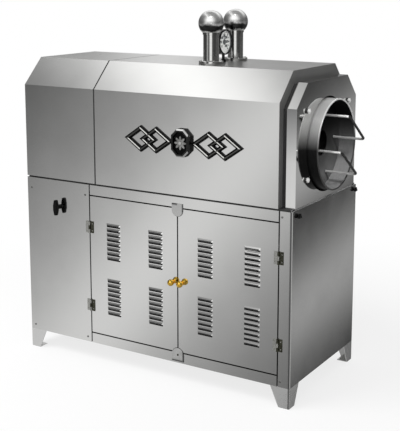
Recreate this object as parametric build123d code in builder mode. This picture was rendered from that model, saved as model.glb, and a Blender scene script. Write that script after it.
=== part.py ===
from build123d import *
import math
import os

# Nut roasting machine in polished sheet steel, in millimetres, +Z up, standing on the floor at Z = 0.
# X runs along the machine towards the discharge mouth, -Y faces the operator, and the drum turns on
# an axis along X. "From the end" means from the cabinet's mouth end, going back towards the drive.

# Cabinet
cabinet_length = 1280
cabinet_depth = 600
foot_height = 82
sheet = 1.5
seam_height = 775
seam_gap = 7
door_gap = 5.5
hole_clearance = 1
corner_bend = 8
corner_wrap = 14

# Hood
hood_shoulder = 1174
hood_bevel = 110
hood_lip = 18
hood_start = 58
hood_seam = 910
hood_seam_gap = 6.5
seam_strip = 24
wall_plate = 3
jacket_gap = 20
jacket_lip = 22

# Drum, its mouth and its lid
drum_axis_z = 987
drum_radius = 235
drum_wall = 3
drum_front = 113
drum_back = 868
neck_radius = 179
neck_wall = 5
neck_reach = 40
lid_radius = 171
lid_depth = 24
lid_plate = 3
lid_hole_radius = 50
lid_gap = 0.3
handle_reach = 109
handle_rod = 5
handle_bend = 14
handle_ends = ((-40, 118), (108, 11))
ledge = 10
ledge_thickness = 4
flight_count = 3
flight_height = 55
flight_wall = 3
flight_margin = 12
flight_turn = 0.75

# Frame of reference: the whole machine, with the lid's handles, is centred on X = 0
overhang = handle_reach + handle_rod
end_x = (cabinet_length - overhang) / 2
left_x = end_x - cabinet_length
middle_x = (left_x + end_x) / 2
back_y = cabinet_depth / 2
front_y = -back_y
panel_top = seam_height - seam_gap / 2
hood_bottom = seam_height + seam_gap / 2

# Frame of corner angles and square tubes
post_leg = 40
post_wall = 4
rail_size = 30
rail_wall = 2
weld_gap = 0.5
frame_y = back_y - sheet - post_wall
frame_low_x = left_x + sheet + post_wall
frame_high_x = end_x - sheet - post_wall
rail_y = frame_y - rail_size / 2
floor_height = foot_height + rail_size

# Feet
foot_top_width = 82
foot_bottom_width = 46
foot_wall = 3

# Doors, as distances from the end and heights of their seams
door_hinge_end = 52
door_middle = 503
door_hinge_drive = 942
door_bottom = 127
door_top = 727
door_depth = 18
louvre_width = 70
louvre_height = 16.5
louvre_slot = 7.5
louvre_slot_corner = 2.5
louvre_rise = 6
louvre_lip = 2.5
louvre_slope = 6
louvre_wall = 1.2
louvre_pitch = 20.2
louvre_count = 8
louvre_columns = 210
louvre_shift = 8
louvre_groups = (300.5, 539.5)
louvre_cut = 0.5
hinge_heights = (249, 591)
hinge_height = 50
hinge_leaf = 20
hinge_plate = 2
knuckle_radius = 4
knuckle_gap = 0.4
knuckle_axis = 4
pin_radius = 2
running_gap = 0.05
knob_height = 422
knob_offset = 21
knob_radius = 13.5
knob_centre = 20
knob_rose_radius = 9.5
knob_rose = 2
knob_neck_radius = 5.5
catch_plate = 2
catch_gap = 1.5
top_catch_radius = 26
top_catch_centre = 719
top_catch_edge = 745
bottom_catch_radius = 28
bottom_catch_centre = 117
bottom_catch_edge = 89

# Switch on the drive end's front panel
switch_end = 1102
switch_height = 659
switch_box = 60
switch_box_depth = 50
switch_corner = 6
switch_shaft = 5
switch_shaft_length = 22
switch_bar_length = 65
switch_bar_width = 20
switch_bar_back = 20
switch_bar_front = 36
switch_bar_edge = 3

# Hand knobs on the mouth end's side panel
front_knob_place = (-249, 748)
rear_knob_place = (282, 752)
side_knob_stud = 3
side_knob_lobe = 4.6
side_knob_lobe_ring = 5.8
side_knob_core = 6.3
side_knob_back = 2.5
side_knob_thickness = 9.5
side_knob_edge = 1.6
side_knob_gap = 0.5
side_knob_inside = 5

# End plate round the mouth
plate_half = 274
plate_shoulder = 1152
plate_bevel = 89
plate_depth = 40
plate_hole = 187
seal_inset = 7
seal_width = 12
bolt_y = 187
bolt_heights = (875, 1137)
bolt_radius = 6
nut_across = 19
nut_height = 11
dome_radius = 8.5

# Flues and thermometer on the hood's top
flue_end = 470
flue_y = 98
flue_radius = 32
flue_wall = 1.5
flue_drop = 40
flue_flange = 50
flue_flange_height = 13
flue_flange_chamfer = 2
collar_radius = 34.5
collar_height = 9
ball_radius = 51.5
ball_wall = 1.5
ball_centre = 1445.5
ball_mouth = 37
ball_web = 4
dial_end = 484
dial_height = 1366
dial_radius = 52
dial_depth = 26
dial_wall = 2
bezel_width = 5
case_chamfer = 1.4
lens_thickness = 2
dial_recess = 10
stem_radius = 6
stem_drop = 60
needle_radius = 2
needle_tip = 36
needle_tail = 12
needle_tip_width = 1.2
needle_tail_width = 3.2
needle_lift = 1.5
needle_sheet = 1
arbor_sink = 1.5

# Ornament on the hood's front
ornament_end = 479
ornament_height = 991
lozenge_width = 158
lozenge_height = 108
lozenge_shift = 73
lozenge_bar = 18
lozenge_rise = 13
lozenge_edge = 8
link_gap = 3
medallion_width = 85
medallion_height = 110
medallion_corner = 26
medallion_rise = 22
medallion_rim = 11
medallion_floor = 10
petal_count = 8
petal_ring = 15
petal_length = 24
petal_width = 10
petal_rise = 6
boss_radius = 6
boss_rise = 9

# Drive
drum_pulley_radius = 150
motor_pulley_radius = 50
pulley_end = 1004
pulley_width = 22
belt_width = 12
belt_depth = 8
belt_gap = 0.4
groove_depth = 10
groove_taper = 0.3
drum_pulley_rim = 22
pulley_web = 5
pulley_hub = 38
hub_width = 30
web_holes = 5
web_hole_radius = 30
web_hole_ring = 90
shaft_radius = 20
shaft_hole = 26
shaft_flange = 70
shaft_flange_height = 8
bearing_side = 110
bearing_corner = 18
bearing_flange = 12
bearing_boss = 36
bearing_depth = 34
motor_shaft_radius = 10
motor_shaft_length = 55
motor_z = 430
shelf_z = 330
shelf_sheet = 4
motor_radius = 72
motor_length = 160
gearbox_gap = 12
gearbox_depth = 70
gearbox_side = 130
gearbox_corner = 14
output_bore_depth = 50
fan_cover = 40
fan_cover_step = 4
fan_cover_taper = 8
fin_count = 16
fin_height = 12
fin_width = 3
terminal_box = (70, 60, 40)
foot_plate_width = 180
foot_plate = 8
foot_block_depth = 50
foot_block_width = 100
shelf_turn = 40

# Rollers under the drum's neck
roller_radius = 30
roller_width = 28
roller_axle = 8
roller_degrees = 35
roller_gap = 0.3
roller_end_gap = 1
pad_side = 48
pad_corner = 8
pad_thickness = 5
keeper_radius = 13
keeper_thickness = 4

# Back panel's motor vents and cable gland
back_vent_x = -545
back_vent_z = 480
back_vent_columns = 105
gland_x = -600
gland_z = 200
gland_radius = 10
gland_bore = 5
gland_hex_across = 26
gland_hex_height = 7
gland_dome_radius = 11.5
gland_dome_height = 16
gland_dome_taper = 9
gland_thread_length = 14

# Burner and its gas line
burner_radius = 20
burner_bore = 17
burner_y = 90
burner_z = 690
burner_bar_y = 150
burner_bar_z = 650
burner_feed_x = -200
burner_end_x = 450
port_count = 14
port_pitch = 42
port_length = 24
port_width = 3
gas_pipe_radius = 10
gas_pipe_bore = 6
nipple_radius = 8
nipple_length = 30
gas_reach = 36
gas_line_x = -330
cock_x = -270
cock_y = -200
cock_half = 25
cock_radius = 16
cock_neck = 12
cock_front = 26
plug_radius = 5
plug_depth = 12
plug_length = 10
lever_length = 60
lever_width = 12
lever_boss = 11
lever_sheet = 6
gas_bend = 28

front_plane = Plane(origin=(0, front_y, 0), x_dir=(1, 0, 0), z_dir=(0, -1, 0))
back_plane = Plane(origin=(0, back_y, 0), x_dir=(-1, 0, 0), z_dir=(0, 1, 0))
mouth_plane = Plane(origin=(end_x, 0, 0), x_dir=(0, 1, 0), z_dir=(1, 0, 0))
drum_axis = Axis((0, 0, drum_axis_z), (1, 0, 0))

os.makedirs("parts", exist_ok=True)


def from_end(distance):
    """X of a place this far from the cabinet's mouth end."""
    return end_x - distance


def bevelled(half_depth, bottom, shoulder, bevel, inset=0):
    """Y and Z corners of a section whose two upper corners are bevelled, moved inwards by inset."""
    slack = inset * (math.sqrt(2) - 1)
    side = half_depth - inset
    flat = half_depth - bevel - slack
    top = shoulder + bevel - inset
    right = [(flat, top), (side, shoulder - slack), (side, bottom)]
    return [(-y, z) for y, z in reversed(right)] + right


def hood_section(bottom, inset=0):
    """Corners of the hood's own section."""
    return bevelled(back_y, bottom, hood_shoulder, hood_bevel, inset)


def plate_section(bottom, inset=0):
    """Corners of the end plate's section."""
    return bevelled(plate_half, bottom, plate_shoulder, plate_bevel, inset)


def on_axis(y, z):
    """Y and Z of a place given from the drum's axis."""
    return (y, drum_axis_z + z)


# Feet: tapered angles with a turned sole, one at each corner
with BuildPart() as feet:
    with BuildSketch(front_plane) as front_leg:
        with BuildLine():
            Polyline(
                (left_x, 0),
                (left_x + foot_bottom_width, 0),
                (left_x + foot_top_width, foot_height),
                (left_x, foot_height),
                close=True,
            )
        make_face()
    extrude(amount=-foot_wall)
    with BuildSketch(Plane.YZ.offset(left_x)) as side_leg:
        with BuildLine():
            Polyline(
                (front_y, 0),
                (front_y + foot_bottom_width, 0),
                (front_y + foot_top_width, foot_height),
                (front_y, foot_height),
                close=True,
            )
        make_face()
    extrude(amount=foot_wall)
    with Locations((left_x, front_y, 0)):
        Box(foot_bottom_width, foot_bottom_width, foot_wall, align=(Align.MIN, Align.MIN, Align.MIN))
    mirror(about=Plane.XZ)
    mirror(about=Plane.YZ.offset(middle_x))
feet.part.label = "feet"
export_step(feet.part, "parts/feet.step")

# Frame posts: an angle in each corner, one holed for the rear hand knob's stud, and a square tube
# behind the drive side's door seam
door_post_x = from_end(door_hinge_drive) - door_gap - rail_size / 2
door_post_top = hood_bottom - rail_size - 2 * sheet
with BuildPart() as frame_posts:
    with BuildSketch(Plane.XY.offset(foot_height)) as angles:
        with Locations((left_x + sheet, front_y + sheet)):
            Rectangle(post_leg, post_leg, align=(Align.MIN, Align.MIN))
        with Locations((frame_low_x, -frame_y)):
            Rectangle(post_leg, post_leg, align=(Align.MIN, Align.MIN), mode=Mode.SUBTRACT)
        heel = angles.vertices().sort_by_distance((left_x + sheet, front_y + sheet))[0]
        fillet(heel, corner_bend - sheet)
        mirror(about=Plane.XZ)
        mirror(about=Plane.YZ.offset(middle_x))
    extrude(amount=panel_top - foot_height)
    with BuildSketch(Plane.XY.offset(floor_height + sheet)) as door_post:
        with Locations((door_post_x, -rail_y)):
            Rectangle(rail_size, rail_size)
            Rectangle(rail_size - 2 * rail_wall, rail_size - 2 * rail_wall, mode=Mode.SUBTRACT)
    extrude(amount=door_post_top - floor_height - sheet)
    with BuildSketch(mouth_plane) as post_stud_hole:
        with Locations(rear_knob_place):
            Circle(side_knob_stud + running_gap)
    extrude(amount=frame_high_x - end_x, mode=Mode.SUBTRACT)
frame_posts.part.label = "frame_posts"
export_step(frame_posts.part, "parts/frame_posts.step")

# Frame rails: a ring at the bottom, a ring under the hood, and the bars that carry the burner
wall_x = door_post_x - rail_size / 2 - 2 * sheet
bottom_rail_z = foot_height + rail_size / 2
top_rail_z = hood_bottom - rail_size / 2
bulkhead_x = from_end(hood_seam)
mouth_rail_x = frame_high_x - rail_size / 2
drive_rail_x = frame_low_x + rail_size / 2
rail_bore = rail_size - 2 * rail_wall
bar_end_x = frame_high_x - rail_size - weld_gap
with BuildPart() as frame_rails:
    with BuildSketch(Plane.YZ.offset(frame_low_x)) as long_rails:
        with Locations(*[(y, z) for y in (-rail_y, rail_y) for z in (bottom_rail_z, top_rail_z)]):
            Rectangle(rail_size, rail_size)
            Rectangle(rail_bore, rail_bore, mode=Mode.SUBTRACT)
    extrude(amount=frame_high_x - frame_low_x)
    with BuildSketch(Plane.YZ.offset(wall_x)) as burner_bars:
        with Locations((-burner_bar_y, burner_bar_z), (burner_bar_y, burner_bar_z)):
            Rectangle(rail_size, rail_size)
            Rectangle(rail_bore, rail_bore, mode=Mode.SUBTRACT)
    extrude(amount=bar_end_x - wall_x)
    with BuildSketch(Plane.XZ) as cross_rails:
        with Locations(
            (drive_rail_x, bottom_rail_z),
            (mouth_rail_x, bottom_rail_z),
            (drive_rail_x, top_rail_z),
            (bulkhead_x, top_rail_z),
            (mouth_rail_x, top_rail_z),
        ):
            Rectangle(rail_size, rail_size)
            Rectangle(rail_bore, rail_bore, mode=Mode.SUBTRACT)
    extrude(amount=rail_y - rail_size / 2 - weld_gap, both=True)
    with BuildSketch(Plane.XZ) as burner_rail:
        with Locations((mouth_rail_x, burner_bar_z)):
            Rectangle(rail_size, rail_size)
            Rectangle(rail_bore, rail_bore, mode=Mode.SUBTRACT)
    extrude(amount=frame_y, both=True)
frame_rails.part.label = "frame_rails"
export_step(frame_rails.part, "parts/frame_rails.step")

# Floor pan, lying on the bottom ring
with BuildPart() as floor_pan:
    with BuildSketch(Plane.XY.offset(floor_height)) as floor_outline:
        with Locations((middle_x, 0)):
            Rectangle(frame_high_x - frame_low_x, 2 * frame_y)
    extrude(amount=sheet)
floor_pan.part.label = "floor_pan"
export_step(floor_pan.part, "parts/floor_pan.step")

# Drive end's front panel, with the switch shaft's hole and a turned edge along the door seam
drive_panel_edge = from_end(door_hinge_drive) - door_gap / 2
turned_edge = post_wall + sheet
with BuildPart() as drive_front_panel:
    with BuildSketch(Plane.XY.offset(foot_height)) as panel_section:
        with Locations((left_x, front_y)):
            Rectangle(drive_panel_edge - left_x, sheet, align=(Align.MIN, Align.MIN))
        with Locations((drive_panel_edge, front_y)):
            Rectangle(sheet, turned_edge, align=(Align.MAX, Align.MIN))
    extrude(amount=panel_top - foot_height)
    with Locations(front_plane.location * Location((from_end(switch_end), switch_height, 0))):
        Hole(radius=switch_shaft + hole_clearance, depth=2 * sheet)
drive_front_panel.part.label = "drive_front_panel"
export_step(drive_front_panel.part, "parts/drive_front_panel.step")

# Stile between the mouth end's door and the corner, bent round the corner onto the side
stile_edge = from_end(door_hinge_end) + door_gap / 2
with BuildPart() as mouth_stile:
    with BuildSketch(Plane.XY.offset(foot_height)) as stile_section:
        with Locations((stile_edge, front_y)):
            Rectangle(end_x - stile_edge, sheet, align=(Align.MIN, Align.MIN))
            Rectangle(sheet, turned_edge, align=(Align.MIN, Align.MIN))
        with Locations((end_x, front_y)):
            Rectangle(sheet, corner_wrap, align=(Align.MAX, Align.MIN))
        inner_corner = stile_section.vertices().sort_by_distance((end_x - sheet, front_y + sheet))[0]
        fillet(inner_corner, corner_bend - sheet)
        outer_corner = stile_section.vertices().sort_by_distance((end_x, front_y))[0]
        fillet(outer_corner, corner_bend)
    extrude(amount=panel_top - foot_height)
mouth_stile.part.label = "mouth_stile"
export_step(mouth_stile.part, "parts/mouth_stile.step")

# Rails above and below the doors: channels whose turned edges meet the frame
rail_low_x = drive_panel_edge + door_gap
rail_high_x = stile_edge - door_gap
rail_bands = {
    "front_top_rail": (door_top + door_gap / 2, panel_top),
    "front_bottom_rail": (foot_height, door_bottom - door_gap / 2),
}
for rail_name, (low, high) in rail_bands.items():
    with BuildPart() as front_rail:
        with BuildSketch(Plane.YZ.offset(rail_low_x)) as channel:
            with Locations((front_y, low)):
                Rectangle(turned_edge, high - low, align=(Align.MIN, Align.MIN))
            with Locations((front_y + sheet, low + sheet)):
                Rectangle(
                    turned_edge,
                    high - low - 2 * sheet,
                    align=(Align.MIN, Align.MIN),
                    mode=Mode.SUBTRACT,
                )
        extrude(amount=rail_high_x - rail_low_x)
    front_rail.part.label = rail_name
    export_step(front_rail.part, f"parts/{rail_name}.step")

# One louvre: a hood pressed outwards over a slot, as its skin and the space cut under it
louvre_inside = louvre_width - 2 * louvre_wall
with BuildPart() as louvre_skin:
    with BuildSketch() as louvre_root:
        with Locations((0, louvre_slot)):
            Rectangle(louvre_width, louvre_height - louvre_slot, align=(Align.CENTER, Align.MIN))
    with BuildSketch(Plane.XY.offset(louvre_rise)) as louvre_edge:
        with Locations((0, louvre_slot)):
            Rectangle(louvre_width - 2 * louvre_slope, louvre_lip, align=(Align.CENTER, Align.MIN))
    loft(ruled=True)
with BuildPart() as louvre_space:
    with BuildSketch(Plane.XY.offset(-sheet - louvre_cut)) as space_root:
        with Locations((0, louvre_slot - louvre_cut)):
            Rectangle(
                louvre_inside,
                louvre_height - louvre_slot - louvre_wall + louvre_cut,
                align=(Align.CENTER, Align.MIN),
            )
    with BuildSketch(Plane.XY.offset(louvre_rise - louvre_wall)) as space_edge:
        with Locations((0, louvre_slot - louvre_cut)):
            Rectangle(
                louvre_width - 2 * louvre_slope - louvre_wall,
                louvre_lip - louvre_wall + 2 * louvre_cut,
                align=(Align.CENTER, Align.MIN),
            )
    loft(ruled=True)
    with BuildSketch(Plane.XY.offset(-sheet - louvre_cut)) as slot_outline:
        with Locations((0, louvre_slot / 2)):
            RectangleRounded(louvre_inside, louvre_slot, louvre_slot_corner)
    extrude(amount=sheet + 2 * louvre_cut)

# Side panels
with BuildPart() as drive_side_panel:
    with BuildSketch(Plane.YZ.offset(left_x)) as side_outline:
        with Locations((0, foot_height)):
            Rectangle(cabinet_depth - 2 * sheet, panel_top - foot_height, align=(Align.CENTER, Align.MIN))
    extrude(amount=sheet)
drive_side_panel.part.label = "drive_side_panel"
export_step(drive_side_panel.part, "parts/drive_side_panel.step")

with BuildPart() as mouth_side_panel:
    with BuildSketch(mouth_plane) as knob_side_outline:
        with Locations((front_y + corner_wrap, foot_height)):
            Rectangle(
                cabinet_depth - corner_wrap - sheet,
                panel_top - foot_height,
                align=(Align.MIN, Align.MIN),
            )
        with Locations(front_knob_place, rear_knob_place):
            Circle(side_knob_stud + running_gap, mode=Mode.SUBTRACT)
    extrude(amount=-sheet)
mouth_side_panel.part.label = "mouth_side_panel"
export_step(mouth_side_panel.part, "parts/mouth_side_panel.step")

# Back panel, with the gas pipe's hole, the cable gland's hole and vents for the motor
with BuildPart(back_plane) as back_panel:
    with BuildSketch(back_plane) as back_outline:
        with Locations((-middle_x, foot_height)):
            Rectangle(cabinet_length, panel_top - foot_height, align=(Align.CENTER, Align.MIN))
        with Locations((-gas_line_x, burner_z)):
            Circle(gas_pipe_radius + hole_clearance, mode=Mode.SUBTRACT)
        with Locations((-gland_x, gland_z)):
            Circle(gland_radius + running_gap, mode=Mode.SUBTRACT)
    extrude(amount=-sheet)
    with Locations((-back_vent_x, back_vent_z, 0)):
        with GridLocations(back_vent_columns, louvre_pitch, 2, louvre_count):
            add(louvre_skin.part)
    with Locations((-back_vent_x, back_vent_z, 0)):
        with GridLocations(back_vent_columns, louvre_pitch, 2, louvre_count):
            add(louvre_space.part, mode=Mode.SUBTRACT)
back_panel.part.label = "back_panel"
export_step(back_panel.part, "parts/back_panel.step")

# Wall between burner and drive, turned over the door post to meet the rail under the bulkhead
with BuildPart() as compartment_wall:
    with BuildSketch(Plane.XZ) as wall_section:
        with Locations((wall_x, floor_height + sheet)):
            Rectangle(sheet, hood_bottom - rail_size - floor_height - sheet, align=(Align.MAX, Align.MIN))
        with Locations((wall_x - sheet, hood_bottom - rail_size)):
            Rectangle(bulkhead_x + rail_size / 2 - wall_x, sheet, align=(Align.MIN, Align.MAX))
    extrude(amount=frame_y, both=True)
compartment_wall.part.label = "compartment_wall"
export_step(compartment_wall.part, "parts/compartment_wall.step")

# Hood over the drum: one folded sheet with turned-in lips, holed for the flues and the thermometer
flue_x = from_end(flue_end)
dial_x = from_end(dial_end)
stem_x = dial_x + dial_depth / 2
hood_top = hood_shoulder + hood_bevel
lip_y = back_y - sheet - hood_lip / 2
hood_main_low = from_end(hood_seam) + hood_seam_gap / 2
with BuildPart() as hood_main:
    with BuildSketch(Plane.YZ.offset(hood_main_low)) as hood_fold:
        with BuildLine():
            Polyline(*hood_section(hood_bottom), close=True)
        make_face()
        with BuildLine():
            Polyline(*hood_section(hood_bottom - sheet, sheet), close=True)
        make_face(mode=Mode.SUBTRACT)
        with Locations((-lip_y, hood_bottom), (lip_y, hood_bottom)):
            Rectangle(hood_lip, sheet, align=(Align.CENTER, Align.MIN))
    extrude(amount=from_end(hood_start) - hood_main_low)
    with Locations((flue_x, -flue_y, hood_top), (flue_x, flue_y, hood_top)):
        Hole(radius=flue_radius + weld_gap, depth=2 * sheet)
    with Locations((stem_x, 0, hood_top)):
        Hole(radius=stem_radius + weld_gap, depth=2 * sheet)
hood_main.part.label = "hood_main"
export_step(hood_main.part, "parts/hood_main.step")

# Hood over the drive: the same section, closed at the end
hood_drive_high = from_end(hood_seam) - hood_seam_gap / 2
with BuildPart() as hood_drive_cover:
    with BuildSketch(Plane.YZ.offset(left_x)) as cover_fold:
        with BuildLine():
            Polyline(*hood_section(hood_bottom), close=True)
        make_face()
        with BuildLine():
            Polyline(*hood_section(hood_bottom - sheet, sheet), close=True)
        make_face(mode=Mode.SUBTRACT)
        with Locations((-lip_y, hood_bottom), (lip_y, hood_bottom)):
            Rectangle(hood_lip, sheet, align=(Align.CENTER, Align.MIN))
    extrude(amount=hood_drive_high - left_x)
    with BuildSketch(Plane.YZ.offset(left_x)) as cover_end:
        with BuildLine():
            Polyline(*hood_section(hood_bottom), close=True)
        make_face()
    extrude(amount=sheet)
hood_drive_cover.part.label = "hood_drive_cover"
export_step(hood_drive_cover.part, "parts/hood_drive_cover.step")

# End wall of the hood, with the hole that the drum's neck turns in and the end plate's bolt holes
with BuildPart() as hood_end_wall:
    with BuildSketch(Plane.YZ.offset(from_end(hood_start))) as end_wall_outline:
        with BuildLine():
            Polyline(*hood_section(hood_bottom + sheet, sheet), close=True)
        make_face()
        with Locations(on_axis(0, 0)):
            Circle(plate_hole, mode=Mode.SUBTRACT)
        with Locations(*[(y, z) for y in (-bolt_y, bolt_y) for z in bolt_heights]):
            Circle(bolt_radius + running_gap, mode=Mode.SUBTRACT)
    extrude(amount=-wall_plate)
hood_end_wall.part.label = "hood_end_wall"
export_step(hood_end_wall.part, "parts/hood_end_wall.step")

# Bulkhead between drum and drive, with a strip round its edge that backs the hood's seam
with BuildPart() as drive_bulkhead:
    with BuildSketch(Plane.YZ.offset(bulkhead_x - wall_plate / 2)) as bulkhead_outline:
        with BuildLine():
            Polyline(*hood_section(hood_bottom + sheet, sheet), close=True)
        make_face()
        with Locations(on_axis(0, 0)):
            Circle(shaft_hole, mode=Mode.SUBTRACT)
    extrude(amount=wall_plate)
    with BuildSketch(Plane.YZ.offset(bulkhead_x - seam_strip / 2)) as strip_section:
        with BuildLine():
            Polyline(*hood_section(hood_bottom + sheet, sheet), close=True)
        make_face()
        with BuildLine():
            Polyline(*hood_section(hood_bottom, sheet + wall_plate), close=True)
        make_face(mode=Mode.SUBTRACT)
    extrude(amount=seam_strip)
drive_bulkhead.part.label = "drive_bulkhead"
export_step(drive_bulkhead.part, "parts/drive_bulkhead.step")

# End plate: a pan that stands off the hood's end, with the mouth's hole and four bolt holes
with BuildPart() as end_plate:
    with BuildSketch(mouth_plane) as plate_outline:
        with BuildLine():
            Polyline(*plate_section(hood_bottom), close=True)
        make_face()
        with Locations(on_axis(0, 0)):
            Circle(plate_hole, mode=Mode.SUBTRACT)
        with Locations(*[(y, z) for y in (-bolt_y, bolt_y) for z in bolt_heights]):
            Circle(bolt_radius + running_gap, mode=Mode.SUBTRACT)
    extrude(amount=-sheet)
    with BuildSketch(mouth_plane.offset(-sheet)) as plate_rim:
        with BuildLine():
            Polyline(*plate_section(hood_bottom), close=True)
        make_face()
        with BuildLine():
            Polyline(*plate_section(hood_bottom + sheet, sheet), close=True)
        make_face(mode=Mode.SUBTRACT)
    extrude(amount=sheet - plate_depth)
end_plate.part.label = "end_plate"
export_step(end_plate.part, "parts/end_plate.step")

# Heat seal between the hood's end wall and the pan's rim
with BuildPart() as end_seal:
    with BuildSketch(Plane.YZ.offset(from_end(hood_start))) as seal_outline:
        with BuildLine():
            Polyline(*plate_section(hood_bottom + sheet, seal_inset), close=True)
        make_face()
        with BuildLine():
            Polyline(*plate_section(hood_bottom + seal_width, seal_inset + seal_width), close=True)
        make_face(mode=Mode.SUBTRACT)
    extrude(amount=hood_start - plate_depth + sheet)
end_seal.part.label = "end_seal"
export_step(end_seal.part, "parts/end_seal.step")

# Domed nuts on studs that pull the end plate against the hood's end wall
with BuildPart(mouth_plane) as end_plate_nuts:
    nut_places = [(y, z) for y in (-bolt_y, bolt_y) for z in bolt_heights]
    with BuildSketch(mouth_plane) as nut_hexes:
        with Locations(*nut_places):
            RegularPolygon(nut_across / 2, 6, major_radius=False)
    extrude(amount=nut_height)
    with Locations(*[(y, z, nut_height) for y, z in nut_places]):
        Sphere(dome_radius, arc_size1=0)
    with BuildSketch(mouth_plane) as studs:
        with Locations(*nut_places):
            Circle(bolt_radius)
    extrude(amount=-hood_start - wall_plate)
end_plate_nuts.part.label = "end_plate_nuts"
export_step(end_plate_nuts.part, "parts/end_plate_nuts.step")

# Inner jacket: an arch over the drum with outward lips on the frame, holed under the flues
jacket_radius = drum_radius + jacket_gap
jacket_low_x = bulkhead_x + wall_plate
jacket_high_x = from_end(hood_start) - 2 * wall_plate
with BuildPart() as inner_jacket:
    with BuildSketch(Plane.YZ.offset(jacket_low_x)) as jacket_section:
        with Locations(on_axis(0, 0)):
            Circle(jacket_radius + sheet)
        with Locations((0, hood_bottom)):
            Rectangle(2 * (jacket_radius + sheet), drum_axis_z - hood_bottom, align=(Align.CENTER, Align.MIN))
            Rectangle(2 * (jacket_radius + jacket_lip), sheet, align=(Align.CENTER, Align.MIN))
        with Locations(on_axis(0, 0)):
            Circle(jacket_radius, mode=Mode.SUBTRACT)
        with Locations((0, drum_axis_z)):
            Rectangle(2 * jacket_radius, drum_axis_z, align=(Align.CENTER, Align.MAX), mode=Mode.SUBTRACT)
        with Locations((0, hood_bottom)):
            Rectangle(4 * jacket_radius, drum_axis_z, align=(Align.CENTER, Align.MAX), mode=Mode.SUBTRACT)
    extrude(amount=jacket_high_x - jacket_low_x)
    with Locations((flue_x, -flue_y, hood_top), (flue_x, flue_y, hood_top)):
        Hole(radius=flue_radius, depth=hood_top - drum_axis_z)
    with Locations((stem_x, 0, hood_top)):
        Hole(radius=stem_radius + hole_clearance, depth=hood_top - drum_axis_z)
inner_jacket.part.label = "inner_jacket"
export_step(inner_jacket.part, "parts/inner_jacket.step")

# Flues: tubes with a welded flange on the hood's top and a collar under the ball cap
ball_mouth_z = ball_centre - math.sqrt(ball_radius**2 - ball_mouth**2)
flue_top = ball_mouth_z + ball_web
with BuildPart() as flues:
    with BuildSketch(Plane.XY.offset(hood_top - flue_drop)) as flue_tubes:
        with Locations((flue_x, -flue_y), (flue_x, flue_y)):
            Circle(flue_radius)
    extrude(amount=flue_top - hood_top + flue_drop)
    with BuildSketch(Plane.XY.offset(hood_top)) as flue_flanges:
        with Locations((flue_x, -flue_y), (flue_x, flue_y)):
            Circle(flue_flange)
    extrude(amount=flue_flange_height)
    with BuildSketch(Plane.XY.offset(ball_mouth_z - collar_height)) as flue_collars:
        with Locations((flue_x, -flue_y), (flue_x, flue_y)):
            Circle(collar_radius)
    extrude(amount=collar_height)
    flange_rims = flues.edges().filter_by(GeomType.CIRCLE).group_by(SortBy.RADIUS)[-1]
    chamfer(flange_rims.group_by(Axis.Z)[-1], flue_flange_chamfer)
    with BuildSketch(Plane.XY.offset(hood_top - flue_drop)) as flue_bores:
        with Locations((flue_x, -flue_y), (flue_x, flue_y)):
            Circle(flue_radius - flue_wall)
    extrude(amount=flue_top - hood_top + flue_drop, mode=Mode.SUBTRACT)
flues.part.label = "flues"
export_step(flues.part, "parts/flues.step")

# Ball caps: hollow, open round the tube below, each carried on the tube's rim by a three-armed web
ball_arm = math.sqrt((ball_radius - ball_wall) ** 2 - (ball_centre - flue_top) ** 2) + ball_wall / 2
with BuildPart() as flue_balls:
    with Locations((flue_x, -flue_y, ball_centre), (flue_x, flue_y, ball_centre)):
        Sphere(ball_radius)
        Sphere(ball_radius - ball_wall, mode=Mode.SUBTRACT)
    with BuildSketch(Plane.XY.offset(ball_centre - ball_radius)) as ball_mouths:
        with Locations((flue_x, -flue_y), (flue_x, flue_y)):
            Circle(ball_mouth)
    extrude(amount=ball_mouth_z - ball_centre + ball_radius, mode=Mode.SUBTRACT)
    with BuildSketch(Plane.XY.offset(flue_top)) as ball_webs:
        with Locations((flue_x, -flue_y), (flue_x, flue_y)):
            with PolarLocations(0, 3):
                Rectangle(ball_arm, 2 * ball_web, align=(Align.MIN, Align.CENTER))
    extrude(amount=ball_web)
flue_balls.part.label = "flue_balls"
export_step(flue_balls.part, "parts/flue_balls.step")

# Dial thermometer facing the mouth end: case with its stem, dial, needle and lens
dial_axis = Axis((0, 0, dial_height), (1, 0, 0))
dial_plane = Plane(origin=(dial_x, 0, dial_height), x_dir=(0, 1, 0), z_dir=(1, 0, 0))
bezel_radius = dial_radius - bezel_width
lens_back = dial_depth - dial_wall - lens_thickness
dial_face = dial_depth - dial_recess
with BuildPart() as thermometer_case:
    with BuildSketch(Plane.XZ) as case_section:
        with BuildLine():
            Polyline(
                (dial_x, dial_height),
                (dial_x, dial_height + dial_radius),
                (dial_x + dial_depth, dial_height + dial_radius),
                (dial_x + dial_depth, dial_height + bezel_radius),
                (dial_x + dial_depth - dial_wall, dial_height + bezel_radius),
                (dial_x + dial_depth - dial_wall, dial_height + dial_radius - dial_wall),
                (dial_x + dial_wall, dial_height + dial_radius - dial_wall),
                (dial_x + dial_wall, dial_height),
                close=True,
            )
        make_face()
    revolve(axis=dial_axis)
    chamfer(thermometer_case.edges().filter_by(GeomType.CIRCLE).group_by(SortBy.RADIUS)[-1], case_chamfer)
    with BuildSketch(Plane.XY.offset(hood_top)) as stem_nut:
        with Locations((stem_x, 0)):
            RegularPolygon(2 * stem_radius, 6)
    extrude(amount=2 * stem_radius)
    with BuildSketch(Plane.XY.offset(hood_top - stem_drop)) as stem:
        with Locations((stem_x, 0)):
            Circle(stem_radius)
    extrude(amount=stem_drop + dial_height - dial_radius - hood_top + dial_wall / 2)
thermometer_case.part.label = "thermometer_case"
export_step(thermometer_case.part, "parts/thermometer_case.step")

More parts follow.
